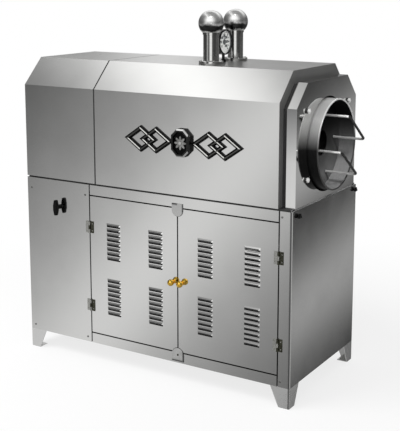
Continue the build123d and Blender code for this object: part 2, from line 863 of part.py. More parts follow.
with BuildPart() as thermometer_dial:
    with BuildSketch(dial_plane.offset(dial_wall)) as dial_disc:
        Circle(dial_radius - dial_wall)
    extrude(amount=dial_face - dial_wall)
    with BuildSketch(dial_plane.offset(dial_face)) as needle_bore:
        Circle(needle_radius + running_gap)
    extrude(amount=-dial_wall, mode=Mode.SUBTRACT)
thermometer_dial.part.label = "thermometer_dial"
export_step(thermometer_dial.part, "parts/thermometer_dial.step")

with BuildPart() as thermometer_lens:
    with BuildSketch(dial_plane.offset(lens_back)) as lens_disc:
        Circle(dial_radius - dial_wall)
    extrude(amount=lens_thickness)
thermometer_lens.part.label = "thermometer_lens"
export_step(thermometer_lens.part, "parts/thermometer_lens.step")

with BuildPart() as thermometer_needle:
    with BuildSketch(dial_plane.offset(dial_face + needle_lift)) as pointer:
        with BuildLine():
            Polyline(
                (-needle_tail_width / 2, -needle_tail),
                (needle_tail_width / 2, -needle_tail),
                (needle_tip_width / 2, needle_tip),
                (-needle_tip_width / 2, needle_tip),
                close=True,
            )
        make_face()
        Circle(2 * needle_radius)
    extrude(amount=needle_sheet)
    with BuildSketch(dial_plane.offset(dial_face - arbor_sink)) as arbor:
        Circle(needle_radius)
    extrude(amount=arbor_sink + needle_lift + needle_sheet)
thermometer_needle.part.label = "thermometer_needle"
export_step(thermometer_needle.part, "parts/thermometer_needle.step")

# Lattices: a pair of interlocking lozenges each side of the medallion, with bevelled bars
ornament_x = from_end(ornament_end)
lozenge_slope = math.hypot(lozenge_width, lozenge_height)
inner_width = lozenge_width - 2 * lozenge_bar * lozenge_slope / lozenge_height
inner_height = lozenge_height - 2 * lozenge_bar * lozenge_slope / lozenge_width
bar_angle = math.degrees(math.atan2(lozenge_height, lozenge_width))


def lozenge_corners(width, height):
    """The four corners of an upright lozenge about the origin."""
    return [(-width / 2, 0), (0, height / 2), (width / 2, 0), (0, -height / 2)]


with BuildPart() as lozenge:
    with BuildSketch() as lozenge_frame:
        with BuildLine():
            Polyline(*lozenge_corners(lozenge_width, lozenge_height), close=True)
        make_face()
        with BuildLine():
            Polyline(*lozenge_corners(inner_width, inner_height), close=True)
        make_face(mode=Mode.SUBTRACT)
    extrude(amount=lozenge_rise)
    chamfer(lozenge.faces().sort_by(Axis.Z)[-1].edges(), lozenge_edge)

# Where two lozenges cross, a pair of grooves in one makes the other's bar pass over it
groove_offset = lozenge_bar / 2 + link_gap / 2
mid_width = (lozenge_width + inner_width) / 2
mid_height = (lozenge_height + inner_height) / 2
crossing_y = mid_height / 2 * (1 - lozenge_shift / mid_width)
lattice_centre = medallion_width / 2 + lozenge_width / 2 + lozenge_shift / 2
with BuildPart(front_plane) as lattices:
    for side in (-1, 1):
        lattice_x = ornament_x + side * lattice_centre
        with Locations(*[(lattice_x + way * lozenge_shift / 2, ornament_height) for way in (-1, 1)]):
            add(lozenge.part)
        for turn in (-1, 1):
            crossing_plane = Plane(
                origin=(lattice_x, front_y - lozenge_rise, ornament_height + turn * crossing_y),
                x_dir=(1, 0, 0),
                z_dir=(0, -1, 0),
            )
            with BuildSketch(crossing_plane.rotated((0, 0, -bar_angle))) as grooves:
                with Locations((0, groove_offset), (0, -groove_offset)):
                    Rectangle(2 * lozenge_bar, link_gap)
            extrude(amount=-lozenge_rise / 2, mode=Mode.SUBTRACT)
lattices.part.label = "lattices"
export_step(lattices.part, "parts/lattices.step")

# Medallion: a long octagon with a raised rim and a rosette in its recess
half_width = medallion_width / 2
half_height = medallion_height / 2
octagon_half = [
    (half_width, half_height - medallion_corner),
    (half_width - medallion_corner, half_height),
    (medallion_corner - half_width, half_height),
    (-half_width, half_height - medallion_corner),
]
octagon = octagon_half + [(-x, -z) for x, z in octagon_half]
medallion_plane = Plane(origin=(ornament_x, front_y, ornament_height), x_dir=(1, 0, 0), z_dir=(0, -1, 0))
with BuildPart() as medallion:
    with BuildSketch(medallion_plane) as medallion_outline:
        with BuildLine():
            Polyline(*octagon, close=True)
        make_face()
    extrude(amount=medallion_rise)
    chamfer(medallion.faces().sort_by(Axis.Y)[0].edges(), medallion_rim / 2)
    with BuildSketch(medallion_plane.offset(medallion_rise)) as recess:
        with BuildLine():
            Polyline(*octagon, close=True)
        make_face()
        offset(amount=-medallion_rim, kind=Kind.INTERSECTION, mode=Mode.REPLACE)
    extrude(amount=medallion_floor - medallion_rise, mode=Mode.SUBTRACT)
    with BuildSketch(medallion_plane.offset(medallion_floor)) as petals:
        with PolarLocations(petal_ring, petal_count):
            Ellipse(petal_length / 2, petal_width / 2)
    extrude(amount=petal_rise)
    with Locations(medallion_plane.offset(medallion_floor).location):
        Cylinder(boss_radius, boss_rise, align=(Align.CENTER, Align.CENTER, Align.MIN))
medallion.part.label = "medallion"
export_step(medallion.part, "parts/medallion.step")


# Hinges: a butt hinge at each height of each door seam, its outer knuckles on the frame's leaf
knuckle_length = hinge_height / 3
hinge_seams = {"right": (from_end(door_hinge_end), 1), "left": (from_end(door_hinge_drive), -1)}
leaf_start = knuckle_radius + hole_clearance
on_plate = (Align.CENTER, Align.CENTER, Align.MIN)


def hinge_leaf_part(seam_x, way, knuckle_rows):
    """Leaves for one side of one seam, with a knuckle at each row counted in knuckle lengths."""
    with BuildPart(front_plane) as leaf:
        for height in hinge_heights:
            with Locations((seam_x + way * (leaf_start + hinge_leaf) / 2, height, 0)):
                Box(hinge_leaf - leaf_start, hinge_height, hinge_plate, align=on_plate)
            for row in knuckle_rows:
                row_z = height + row * knuckle_length
                with Locations((seam_x + way * leaf_start / 2, row_z, 0)):
                    Box(leaf_start, knuckle_length - knuckle_gap, hinge_plate, align=on_plate)
                with Locations((seam_x, row_z, knuckle_axis)):
                    Cylinder(knuckle_radius, knuckle_length - knuckle_gap, rotation=(90, 0, 0))
            with Locations((seam_x, height, knuckle_axis)):
                Cylinder(pin_radius + running_gap, 2 * hinge_height, rotation=(90, 0, 0), mode=Mode.SUBTRACT)
    return leaf.part


frame_leaf_parts = [hinge_leaf_part(seam_x, way, (-1, 1)) for seam_x, way in hinge_seams.values()]
with BuildPart() as hinge_frame_leaves:
    add(frame_leaf_parts)
hinge_frame_leaves.part.label = "hinge_frame_leaves"
export_step(hinge_frame_leaves.part, "parts/hinge_frame_leaves.step")

for door_name, (seam_x, way) in hinge_seams.items():
    with BuildPart() as door_leaves:
        add(hinge_leaf_part(seam_x, -way, (0,)))
    door_leaves.part.label = f"{door_name}_door_leaves"
    export_step(door_leaves.part, f"parts/{door_name}_door_leaves.step")

with BuildPart(front_plane) as hinge_pins:
    with Locations(*[(x, z, knuckle_axis) for x, way in hinge_seams.values() for z in hinge_heights]):
        Cylinder(pin_radius, hinge_height, rotation=(90, 0, 0))
hinge_pins.part.label = "hinge_pins"
export_step(hinge_pins.part, "parts/hinge_pins.step")

# Doors: folded pans with pressed louvres, notched at the middle for the catch plates
middle_seam = from_end(door_middle)
door_spans = {
    "right": (middle_seam + door_gap / 2, from_end(door_hinge_end) - door_gap / 2),
    "left": (from_end(door_hinge_drive) + door_gap / 2, middle_seam - door_gap / 2),
}
door_low = door_bottom + door_gap / 2
door_high = door_top - door_gap / 2
for door_name, (low, high) in door_spans.items():
    door_centre = (low + high) / 2
    with BuildPart(front_plane) as door_panel:
        with BuildSketch(front_plane) as door_outline:
            with Locations((low, door_low)):
                Rectangle(high - low, door_high - door_low, align=(Align.MIN, Align.MIN))
            with Locations((middle_seam, top_catch_centre)):
                Circle(top_catch_radius + catch_gap, mode=Mode.SUBTRACT)
                Rectangle(
                    2 * (top_catch_radius + catch_gap),
                    top_catch_radius,
                    align=(Align.CENTER, Align.MIN),
                    mode=Mode.SUBTRACT,
                )
            with Locations((middle_seam, bottom_catch_centre)):
                Circle(bottom_catch_radius + catch_gap, mode=Mode.SUBTRACT)
        extrude(amount=-sheet)
        with BuildSketch(front_plane.offset(-sheet)) as door_rim:
            add(door_outline.sketch_local)
            offset(amount=-sheet, kind=Kind.INTERSECTION, mode=Mode.SUBTRACT)
        extrude(amount=sheet - door_depth)
        group_places = [(door_centre + louvre_shift, z - louvre_height / 2, 0) for z in louvre_groups]
        with Locations(*group_places):
            with GridLocations(louvre_columns, louvre_pitch, 2, louvre_count):
                add(louvre_skin.part)
        with Locations(*group_places):
            with GridLocations(louvre_columns, louvre_pitch, 2, louvre_count):
                add(louvre_space.part, mode=Mode.SUBTRACT)
    door_panel.part.label = f"{door_name}_door_panel"
    export_step(door_panel.part, f"parts/{door_name}_door_panel.step")

# Ball knobs, each on a neck with a small rose
for door_name, way in (("right", 1), ("left", -1)):
    with BuildPart(front_plane) as ball_knob:
        with Locations((middle_seam + way * knob_offset, knob_height, 0)):
            Cylinder(knob_rose_radius, knob_rose, align=on_plate)
            Cylinder(knob_neck_radius, knob_centre, align=on_plate)
        with Locations((middle_seam + way * knob_offset, knob_height, knob_centre)):
            Sphere(knob_radius)
    ball_knob.part.label = f"{door_name}_knob"
    export_step(ball_knob.part, f"parts/{door_name}_knob.step")

# Catch plates on the rails above and below the doors' meeting edges
with BuildPart() as door_catches:
    with BuildSketch(front_plane) as catch_outlines:
        with Locations((middle_seam, top_catch_centre)):
            Circle(top_catch_radius)
            Rectangle(
                2 * top_catch_radius,
                top_catch_edge - top_catch_centre,
                align=(Align.CENTER, Align.MIN),
            )
        with Locations((middle_seam, bottom_catch_centre)):
            Circle(bottom_catch_radius)
            Rectangle(
                2 * bottom_catch_radius,
                bottom_catch_centre - bottom_catch_edge,
                align=(Align.CENTER, Align.MAX),
            )
    extrude(amount=catch_plate)
door_catches.part.label = "door_catches"
export_step(door_catches.part, "parts/door_catches.step")

# Drum switch: its body behind the panel, and its handle with the shaft
switch_plane = Plane(origin=(from_end(switch_end), front_y, switch_height), x_dir=(1, 0, 0), z_dir=(0, -1, 0))
with BuildPart() as switch_body:
    with BuildSketch(switch_plane.offset(-sheet)) as switch_outline:
        RectangleRounded(switch_box, switch_box, switch_corner)
        Circle(switch_shaft + running_gap, mode=Mode.SUBTRACT)
    extrude(amount=-switch_shaft_length)
    with BuildSketch(switch_plane.offset(-sheet - switch_shaft_length)) as switch_back:
        RectangleRounded(switch_box, switch_box, switch_corner)
    extrude(amount=switch_shaft_length - switch_box_depth)
switch_body.part.label = "switch_body"
export_step(switch_body.part, "parts/switch_body.step")

bar_half = switch_bar_length / 2
with BuildPart() as switch_handle:
    with BuildSketch(switch_plane.offset(switch_bar_back)) as switch_bar:
        with BuildLine():
            Polyline(
                (-switch_bar_width / 2, -bar_half / 3),
                (-switch_bar_width / 4, -bar_half),
                (switch_bar_width / 4, -bar_half),
                (switch_bar_width / 2, -bar_half / 3),
                (switch_bar_width / 2, bar_half / 3),
                (switch_bar_width / 4, bar_half),
                (-switch_bar_width / 4, bar_half),
                (-switch_bar_width / 2, bar_half / 3),
                close=True,
            )
        make_face()
    extrude(amount=switch_bar_front - switch_bar_back)
    fillet(switch_handle.faces().sort_by(Axis.Y)[0].edges(), switch_bar_edge)
    with Locations(switch_plane.offset(hole_clearance).location):
        Cone(switch_bar_width / 2, switch_bar_width / 3, switch_bar_back - hole_clearance, align=on_plate)
    with Locations(switch_plane.offset(-switch_shaft_length).location):
        Cylinder(switch_shaft, switch_shaft_length + switch_bar_back, align=on_plate)
switch_handle.part.label = "switch_handle"
export_step(switch_handle.part, "parts/switch_handle.step")

# Three-lobed hand knobs on studs through the mouth end's side panel
side_knob_places = {"front_side_knob": front_knob_place, "rear_side_knob": rear_knob_place}
for knob_name, (knob_y, knob_z) in side_knob_places.items():
    knob_plane = Plane(origin=(end_x, knob_y, knob_z), x_dir=(0, 0, 1), z_dir=(1, 0, 0))
    with BuildPart() as side_knob:
        with BuildSketch(knob_plane.offset(side_knob_back)) as lobes:
            Circle(side_knob_core)
            with PolarLocations(side_knob_lobe_ring, 3):
                Circle(side_knob_lobe)
        extrude(amount=side_knob_thickness)
        fillet(side_knob.faces().sort_by(Axis.X)[-1].edges(), side_knob_edge)
        with Locations(knob_plane.offset(side_knob_gap).location):
            Cylinder(side_knob_lobe, side_knob_back, align=on_plate)
        with Locations(knob_plane.offset(-side_knob_inside).location):
            Cylinder(side_knob_stud, side_knob_inside + side_knob_back, align=on_plate)
    side_knob.part.label = knob_name
    export_step(side_knob.part, f"parts/{knob_name}.step")

# Drum: rear head, barrel, front head, neck and the lid's ledge, welded along hairline seams
barrel_front = from_end(drum_front)
barrel_back = from_end(drum_back)
barrel_inner = drum_radius - drum_wall
neck_front = end_x + neck_reach
neck_inner = neck_radius - neck_wall
lid_back = from_end(lid_depth) - lid_plate
ledge_front = lid_back - lid_gap
drum_rings = [
    (barrel_back, barrel_back + drum_wall, 0, barrel_inner - weld_gap),
    (barrel_back, barrel_front, barrel_inner, drum_radius),
    (barrel_front - drum_wall, barrel_front, neck_radius + weld_gap, barrel_inner - weld_gap),
    (barrel_front - drum_wall, neck_front, neck_inner, neck_radius),
    (ledge_front - ledge_thickness, ledge_front, neck_inner - ledge, neck_inner - weld_gap),
]
with BuildPart() as drum_shell:
    with BuildSketch(Plane.XZ) as drum_profile:
        for ring_back, ring_front, ring_inner, ring_outer in drum_rings:
            with Locations((ring_back, drum_axis_z + ring_inner)):
                Rectangle(ring_front - ring_back, ring_outer - ring_inner, align=Align.MIN)
    revolve(axis=drum_axis)
drum_shell.part.label = "drum_shell"
export_step(drum_shell.part, "parts/drum_shell.step")

# Flights: helical blades along the barrel, which mix one way round and discharge the other
flight_length = barrel_front - barrel_back - 2 * drum_wall - 2 * flight_margin
flight_radius = barrel_inner - weld_gap - flight_height / 2
with BuildPart() as flight:
    with BuildLine() as flight_path:
        Helix(flight_length / flight_turn, flight_length, flight_radius)
    blade_plane = Plane(origin=flight_path.line @ 0, x_dir=(1, 0, 0), z_dir=flight_path.line % 0)
    with BuildSketch(blade_plane) as blade:
        Rectangle(flight_height, flight_wall)
    sweep(path=flight_path.line, is_frenet=True)

flight_plane = Plane(
    origin=(barrel_back + drum_wall + flight_margin, 0, drum_axis_z),
    x_dir=(0, 1, 0),
    z_dir=(1, 0, 0),
)
with BuildPart(flight_plane) as drum_flights:
    with PolarLocations(0, flight_count):
        add(flight.part)
drum_flights.part.label = "drum_flights"
export_step(drum_flights.part, "parts/drum_flights.step")

# Stub shaft, flanged to the drum's rear head
pulley_x = from_end(pulley_end)
shaft_end = pulley_x - pulley_width
with BuildPart() as drum_shaft:
    with BuildSketch(Plane.YZ.offset(barrel_back)) as shaft_flange_disc:
        with Locations(on_axis(0, 0)):
            Circle(shaft_flange)
    extrude(amount=-shaft_flange_height)
    with BuildSketch(Plane.YZ.offset(barrel_back)) as shaft_section:
        with Locations(on_axis(0, 0)):
            Circle(shaft_radius)
    extrude(amount=shaft_end - barrel_back)
drum_shaft.part.label = "drum_shaft"
export_step(drum_shaft.part, "parts/drum_shaft.step")

# Flange bearing on the bulkhead's drive side
with BuildPart() as rear_bearing:
    with BuildSketch(Plane.YZ.offset(bulkhead_x - wall_plate / 2)) as bearing_outline:
        with Locations(on_axis(0, 0)):
            RectangleRounded(bearing_side, bearing_side, bearing_corner)
    extrude(amount=-bearing_flange)
    with BuildSketch(Plane.YZ.offset(bulkhead_x - wall_plate / 2)) as boss_outline:
        with Locations(on_axis(0, 0)):
            Circle(bearing_boss)
    extrude(amount=-bearing_depth)
    with BuildSketch(Plane.YZ.offset(bulkhead_x - wall_plate / 2)) as bearing_bore:
        with Locations(on_axis(0, 0)):
            Circle(shaft_radius + running_gap)
    extrude(amount=-bearing_depth, mode=Mode.SUBTRACT)
rear_bearing.part.label = "rear_bearing"
export_step(rear_bearing.part, "parts/rear_bearing.step")

# Belt pulleys with a flat-bottomed groove: a holed one on the drum's shaft, a small one on the motor's
def pulley_section(pitch_radius, bore, taper):
    """X from the pulley's middle and radius of one half of its section, closed along the bore."""
    groove = belt_width / 2 + belt_gap
    outer = pitch_radius + groove_depth / 2
    floor = pitch_radius - groove_depth / 2
    face = pulley_width / 2
    right = [(face, bore), (face, outer), (groove, outer), (groove - taper, floor)]
    return right + [(-x, r) for x, r in reversed(right)]


drum_rim_bore = drum_pulley_radius - drum_pulley_rim
with BuildPart() as drum_pulley:
    with BuildSketch(Plane.XZ) as drum_pulley_profile:
        with BuildLine():
            rim_points = pulley_section(drum_pulley_radius, drum_rim_bore, groove_taper)
            Polyline(*[(pulley_x + x, drum_axis_z + r) for x, r in rim_points], close=True)
        make_face()
    revolve(axis=drum_axis)
    with BuildSketch(Plane.YZ.offset(pulley_x)) as drum_pulley_web:
        with Locations(on_axis(0, 0)):
            Circle(drum_rim_bore + hole_clearance)
            with PolarLocations(web_hole_ring, web_holes):
                Circle(web_hole_radius, mode=Mode.SUBTRACT)
    extrude(amount=pulley_web / 2, both=True)
    with BuildSketch(Plane.YZ.offset(pulley_x)) as drum_pulley_hub:
        with Locations(on_axis(0, 0)):
            Circle(pulley_hub)
    extrude(amount=hub_width / 2, both=True)
    with BuildSketch(Plane.YZ.offset(pulley_x)) as drum_pulley_bore:
        with Locations(on_axis(0, 0)):
            Circle(shaft_radius + running_gap)
    extrude(amount=hub_width, both=True, mode=Mode.SUBTRACT)
drum_pulley.part.label = "drum_pulley"
export_step(drum_pulley.part, "parts/drum_pulley.step")

motor_axis = Axis((0, 0, motor_z), (1, 0, 0))
motor_shaft_back = pulley_x - pulley_width / 2 - motor_shaft_length
with BuildPart() as motor_pulley:
    with BuildSketch(Plane.XZ) as motor_pulley_profile:
        with BuildLine():
            motor_rim_points = pulley_section(motor_pulley_radius, 0, groove_taper)
            Polyline(*[(pulley_x + x, motor_z + r) for x, r in motor_rim_points], close=True)
        make_face()
    revolve(axis=motor_axis)
    with BuildSketch(Plane.YZ.offset(motor_shaft_back)) as motor_shaft_section:
        with Locations((0, motor_z)):
            Circle(motor_shaft_radius)
    extrude(amount=pulley_x - motor_shaft_back)
motor_pulley.part.label = "motor_pulley"
export_step(motor_pulley.part, "parts/motor_pulley.step")

# Drive belt, lying in both grooves
with BuildPart() as drive_belt:
    for belt_offset, belt_mode in ((belt_depth / 2, Mode.ADD), (-belt_depth / 2, Mode.SUBTRACT)):
        with BuildSketch(Plane.YZ.offset(pulley_x)) as belt_loop:
            with Locations(on_axis(0, 0)):
                Circle(drum_pulley_radius + belt_offset)
            with Locations((0, motor_z)):
                Circle(motor_pulley_radius + belt_offset)
            make_hull(belt_loop.edges())
        extrude(amount=belt_width / 2, both=True, mode=belt_mode)
drive_belt.part.label = "drive_belt"
export_step(drive_belt.part, "parts/drive_belt.step")

# Gear motor: gearbox, motor barrel, fan cover, terminal box and foot
gearbox_front = pulley_x - pulley_width / 2 - gearbox_gap
motor_plane = Plane(origin=(gearbox_front, 0, motor_z), x_dir=(0, 1, 0), z_dir=(-1, 0, 0))
motor_foot_z = shelf_z + shelf_sheet
with BuildPart() as gear_motor:
    with BuildSketch(motor_plane) as gearbox:
        RectangleRounded(gearbox_side, gearbox_side, gearbox_corner)
    extrude(amount=gearbox_depth)
    with BuildSketch(motor_plane.offset(gearbox_depth)) as barrel:
        Circle(motor_radius)
    extrude(amount=motor_length - fan_cover)
    with BuildSketch(motor_plane.offset(gearbox_depth)) as cooling_fins:
        with PolarLocations(motor_radius, fin_count):
            Rectangle(fin_height, fin_width)
    extrude(amount=motor_length - 2 * fan_cover)
    with BuildSketch(motor_plane.offset(gearbox_depth + motor_length - fan_cover)) as fan_end:
        Circle(motor_radius + fan_cover_step)
    extrude(amount=fan_cover, taper=fan_cover_taper)
    with Locations((gearbox_front - gearbox_depth - motor_length / 2, 0, motor_z + motor_radius)):
        Box(*terminal_box)
    with Locations((gearbox_front - gearbox_depth / 2, 0, motor_foot_z)):
        Box(gearbox_depth, foot_plate_width, foot_plate, align=on_plate)
        Box(foot_block_depth, foot_block_width, motor_z - motor_foot_z, align=on_plate)
    with BuildSketch(motor_plane) as output_bore:
        Circle(motor_shaft_radius + running_gap)
    extrude(amount=output_bore_depth, mode=Mode.SUBTRACT)
gear_motor.part.label = "gear_motor"
export_step(gear_motor.part, "parts/gear_motor.step")

# Shelf for the gear motor, turned down where it meets the side panel and the compartment wall
shelf_low_x = left_x + sheet
shelf_high_x = wall_x - sheet
shelf_half = frame_y - post_leg
with BuildPart() as motor_shelf:
    with BuildSketch(Plane.XZ) as shelf_section:
        with Locations((shelf_low_x, motor_foot_z)):
            Rectangle(shelf_high_x - shelf_low_x, shelf_turn, align=(Align.MIN, Align.MAX))
        with Locations((shelf_low_x + shelf_sheet, shelf_z)):
            Rectangle(
                shelf_high_x - shelf_low_x - 2 * shelf_sheet,
                shelf_turn,
                align=(Align.MIN, Align.MAX),
                mode=Mode.SUBTRACT,
            )
    extrude(amount=shelf_half, both=True)
motor_shelf.part.label = "motor_shelf"
export_step(motor_shelf.part, "parts/motor_shelf.step")

# Rollers under the drum's neck, each on a stub axle bolted to the hood's end wall
roller_angle = math.radians(roller_degrees)
roller_swing = neck_radius + roller_radius + roller_gap
roller_y = roller_swing * math.sin(roller_angle)
roller_z = -roller_swing * math.cos(roller_angle)
pad_face = from_end(hood_start) - wall_plate
roller_front = pad_face - pad_thickness - roller_end_gap
roller_back = roller_front - roller_width
keeper_face = roller_back - roller_end_gap
with BuildPart() as roller_brackets:
    for roller_side in (-1, 1):
        with BuildSketch(Plane.YZ.offset(pad_face)) as pad:
            with Locations(on_axis(roller_side * roller_y, roller_z)):
                RectangleRounded(pad_side, pad_side, pad_corner)
        extrude(amount=-pad_thickness)
        with BuildSketch(Plane.YZ.offset(pad_face)) as axle:
            with Locations(on_axis(roller_side * roller_y, roller_z)):
                Circle(roller_axle)
        extrude(amount=keeper_face - keeper_thickness - pad_face)
        with BuildSketch(Plane.YZ.offset(keeper_face)) as keeper:
            with Locations(on_axis(roller_side * roller_y, roller_z)):
                Circle(keeper_radius)
        extrude(amount=-keeper_thickness)
roller_brackets.part.label = "roller_brackets"
export_step(roller_brackets.part, "parts/roller_brackets.step")

for roller_name, roller_side in (("front_roller", -1), ("rear_roller", 1)):
    with BuildPart() as roller:
        with BuildSketch(Plane.YZ.offset(roller_front)) as roller_section:
            with Locations(on_axis(roller_side * roller_y, roller_z)):
                Circle(roller_radius)
                Circle(roller_axle + running_gap, mode=Mode.SUBTRACT)
        extrude(amount=-roller_width)
    roller.part.label = roller_name
    export_step(roller.part, f"parts/{roller_name}.step")

# Mouth lid: a holed disc against the ledge, with two bent-rod handles
with BuildPart() as lid_disc:
    with BuildSketch(Plane.YZ.offset(lid_back)) as lid_outline:
        with Locations(on_axis(0, 0)):
            Circle(lid_radius)
            Circle(lid_hole_radius, mode=Mode.SUBTRACT)
    extrude(amount=lid_plate)
lid_disc.part.label = "lid_disc"
export_step(lid_disc.part, "parts/lid_disc.step")

lid_face = lid_back + lid_plate
handle_front = end_x + handle_reach
with BuildPart() as lid_handles:
    for way in (1, -1):
        first, second = [on_axis(way * y, way * z) for y, z in handle_ends]
        with BuildLine() as handle_path:
            FilletPolyline(
                (lid_face, *first),
                (handle_front, *first),
                (handle_front, *second),
                (lid_face, *second),
                radius=handle_bend,
            )
        with BuildSketch(Plane(origin=(lid_face, *first), z_dir=(1, 0, 0))) as rod:
            Circle(handle_rod)
        sweep(path=handle_path.line)
lid_handles.part.label = "lid_handles"
export_step(lid_handles.part, "parts/lid_handles.step")

# Burner: two ported tubes fed by a cross tube, on short legs
burner_foot_top = burner_bar_z + rail_size / 2
burner_length = burner_end_x - burner_feed_x
with BuildPart() as burner:
    with BuildSketch(Plane.YZ.offset(burner_feed_x)) as burner_tubes:
        with Locations((-burner_y, burner_z), (burner_y, burner_z)):
            Circle(burner_radius)
    extrude(amount=burner_length)
    for cross_x in (burner_feed_x, burner_end_x):
        with BuildSketch(Plane.XZ.offset(-burner_bar_y)) as cross_tube:
            with Locations((cross_x, burner_z)):
                Circle(burner_radius)
        extrude(amount=2 * burner_bar_y)
    with BuildSketch(Plane.XZ.offset(burner_bar_y)) as feed_tube:
        with Locations((burner_feed_x, burner_z)):
            Circle(burner_radius)
    extrude(amount=-cock_y - burner_bar_y + burner_radius)
    with BuildSketch(Plane.YZ.offset(burner_feed_x)) as feed_stub:
        with Locations((cock_y, burner_z)):
            Circle(gas_pipe_radius)
    extrude(amount=cock_x + cock_half - burner_feed_x)
    burner_leg_x = (burner_feed_x, burner_end_x)
    burner_leg_y = (-burner_bar_y, burner_bar_y)
    with Locations(*[(x, y, burner_foot_top) for x in burner_leg_x for y in burner_leg_y]):
        Box(rail_size, rail_size, burner_z - burner_foot_top, align=on_plate)
    with BuildSketch(Plane.YZ.offset(burner_feed_x)) as burner_bores:
        with Locations((-burner_y, burner_z), (burner_y, burner_z)):
            Circle(burner_bore)
    extrude(amount=burner_length, mode=Mode.SUBTRACT)
    with BuildSketch(Plane.XY.offset(burner_z)) as ports:
        with Locations(((burner_feed_x + burner_end_x) / 2, 0)):
            with GridLocations(port_pitch, 2 * burner_y, port_count, 2):
                Rectangle(port_length, port_width)
    extrude(amount=burner_radius, mode=Mode.SUBTRACT)
burner.part.label = "burner"
export_step(burner.part, "parts/burner.step")

# Gas line from the hose nipple behind the back panel to the cock, one bent tube
gas_shoulder = back_y + gas_reach - nipple_length
with BuildPart() as gas_pipe:
    with BuildLine() as gas_path:
        FilletPolyline(
            (gas_line_x, gas_shoulder, burner_z),
            (gas_line_x, cock_y, burner_z),
            (cock_x - cock_half, cock_y, burner_z),
            radius=gas_bend,
        )
    with BuildSketch(Plane(origin=(gas_line_x, gas_shoulder, burner_z), z_dir=(0, -1, 0))) as gas_section:
        Circle(gas_pipe_radius)
        Circle(gas_pipe_bore, mode=Mode.SUBTRACT)
    sweep(path=gas_path.line)
    with BuildSketch(Plane(origin=(gas_line_x, gas_shoulder, burner_z), z_dir=(0, 1, 0))) as nipple:
        Circle(nipple_radius)
        Circle(gas_pipe_bore, mode=Mode.SUBTRACT)
    extrude(amount=nipple_length)
gas_pipe.part.label = "gas_pipe"
export_step(gas_pipe.part, "parts/gas_pipe.step")

# Gas cock in the line, and its lever in front of it
cock_plane = Plane(origin=(cock_x, cock_y, burner_z), x_dir=(1, 0, 0), z_dir=(0, -1, 0))
with BuildPart() as gas_cock:
    with BuildSketch(Plane.YZ.offset(cock_x - cock_half)) as cock_hexes:
        with Locations((cock_y, burner_z)):
            RegularPolygon(cock_radius, 6)
    extrude(amount=2 * cock_half)
    with BuildSketch(cock_plane) as cock_collar:
        Circle(cock_neck)
    extrude(amount=cock_front)
    with BuildSketch(cock_plane.offset(cock_front)) as plug_bore:
        Circle(plug_radius + running_gap)
    extrude(amount=-plug_depth, mode=Mode.SUBTRACT)
gas_cock.part.label = "gas_cock"
export_step(gas_cock.part, "parts/gas_cock.step")

with BuildPart() as gas_lever:
    with BuildSketch(cock_plane.offset(cock_front + hole_clearance)) as lever_outline:
        Circle(lever_boss)
        with Locations((lever_length / 2, 0)):
            SlotOverall(lever_length, lever_width)
    extrude(amount=lever_sheet)
    with BuildSketch(cock_plane.offset(cock_front + hole_clearance)) as plug:
        Circle(plug_radius)
    extrude(amount=-hole_clearance - plug_length)
gas_lever.part.label = "gas_lever"
export_step(gas_lever.part, "parts/gas_lever.step")

# Cable gland on the back panel: hex, dome nut and a bore for the supply cable
gland_plane = Plane(origin=(gland_x, back_y, gland_z), x_dir=(-1, 0, 0), z_dir=(0, 1, 0))
gland_front = gland_hex_height + gland_dome_height
with BuildPart() as cable_gland:
    with BuildSketch(gland_plane) as gland_hex:
        RegularPolygon(gland_hex_across / 2, 6, major_radius=False)
    extrude(amount=gland_hex_height)
    with BuildSketch(gland_plane.offset(gland_hex_height)) as gland_dome:
        Circle(gland_dome_radius)
    extrude(amount=gland_dome_height, taper=gland_dome_taper)
    with BuildSketch(gland_plane) as gland_thread:
        Circle(gland_radius)
    extrude(amount=-gland_thread_length)
    with BuildSketch(gland_plane.offset(gland_front)) as gland_hole:
        Circle(gland_bore)
    extrude(amount=-gland_front - gland_thread_length, mode=Mode.SUBTRACT)
cable_gland.part.label = "cable_gland"
export_step(cable_gland.part, "parts/cable_gland.step")
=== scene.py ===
"""Looks of the nut roasting machine: studio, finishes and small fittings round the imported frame."""
import math

import bmesh
import bpy
from mathutils import Matrix, Vector


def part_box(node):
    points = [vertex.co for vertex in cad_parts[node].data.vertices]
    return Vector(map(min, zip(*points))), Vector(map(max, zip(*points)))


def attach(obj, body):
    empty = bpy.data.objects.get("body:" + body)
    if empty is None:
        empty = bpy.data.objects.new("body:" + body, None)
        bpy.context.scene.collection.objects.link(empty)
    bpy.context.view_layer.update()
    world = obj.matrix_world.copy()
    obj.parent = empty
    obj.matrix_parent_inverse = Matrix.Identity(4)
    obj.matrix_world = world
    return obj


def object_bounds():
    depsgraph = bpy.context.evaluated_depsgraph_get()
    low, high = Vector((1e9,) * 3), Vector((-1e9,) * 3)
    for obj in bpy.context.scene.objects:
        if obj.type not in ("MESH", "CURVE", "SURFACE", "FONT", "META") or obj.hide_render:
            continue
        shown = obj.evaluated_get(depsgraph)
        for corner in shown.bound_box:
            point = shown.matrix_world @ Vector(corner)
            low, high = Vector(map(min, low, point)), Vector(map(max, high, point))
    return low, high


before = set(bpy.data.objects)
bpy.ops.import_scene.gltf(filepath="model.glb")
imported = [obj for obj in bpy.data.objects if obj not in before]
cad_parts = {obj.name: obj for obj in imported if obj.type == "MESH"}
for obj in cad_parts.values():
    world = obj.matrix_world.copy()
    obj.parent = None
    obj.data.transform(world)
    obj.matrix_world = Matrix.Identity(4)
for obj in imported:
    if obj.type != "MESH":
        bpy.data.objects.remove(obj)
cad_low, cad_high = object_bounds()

# Camera: metres, degrees, millimetres of lens and a share of the picture's height
CAMERA_PLACE = (2.137, -3.467, 1.625)
CAMERA_TURN = (80.21, 0, 31.65)
CAMERA_LENS = 81.84
CAMERA_SHIFT = -0.16

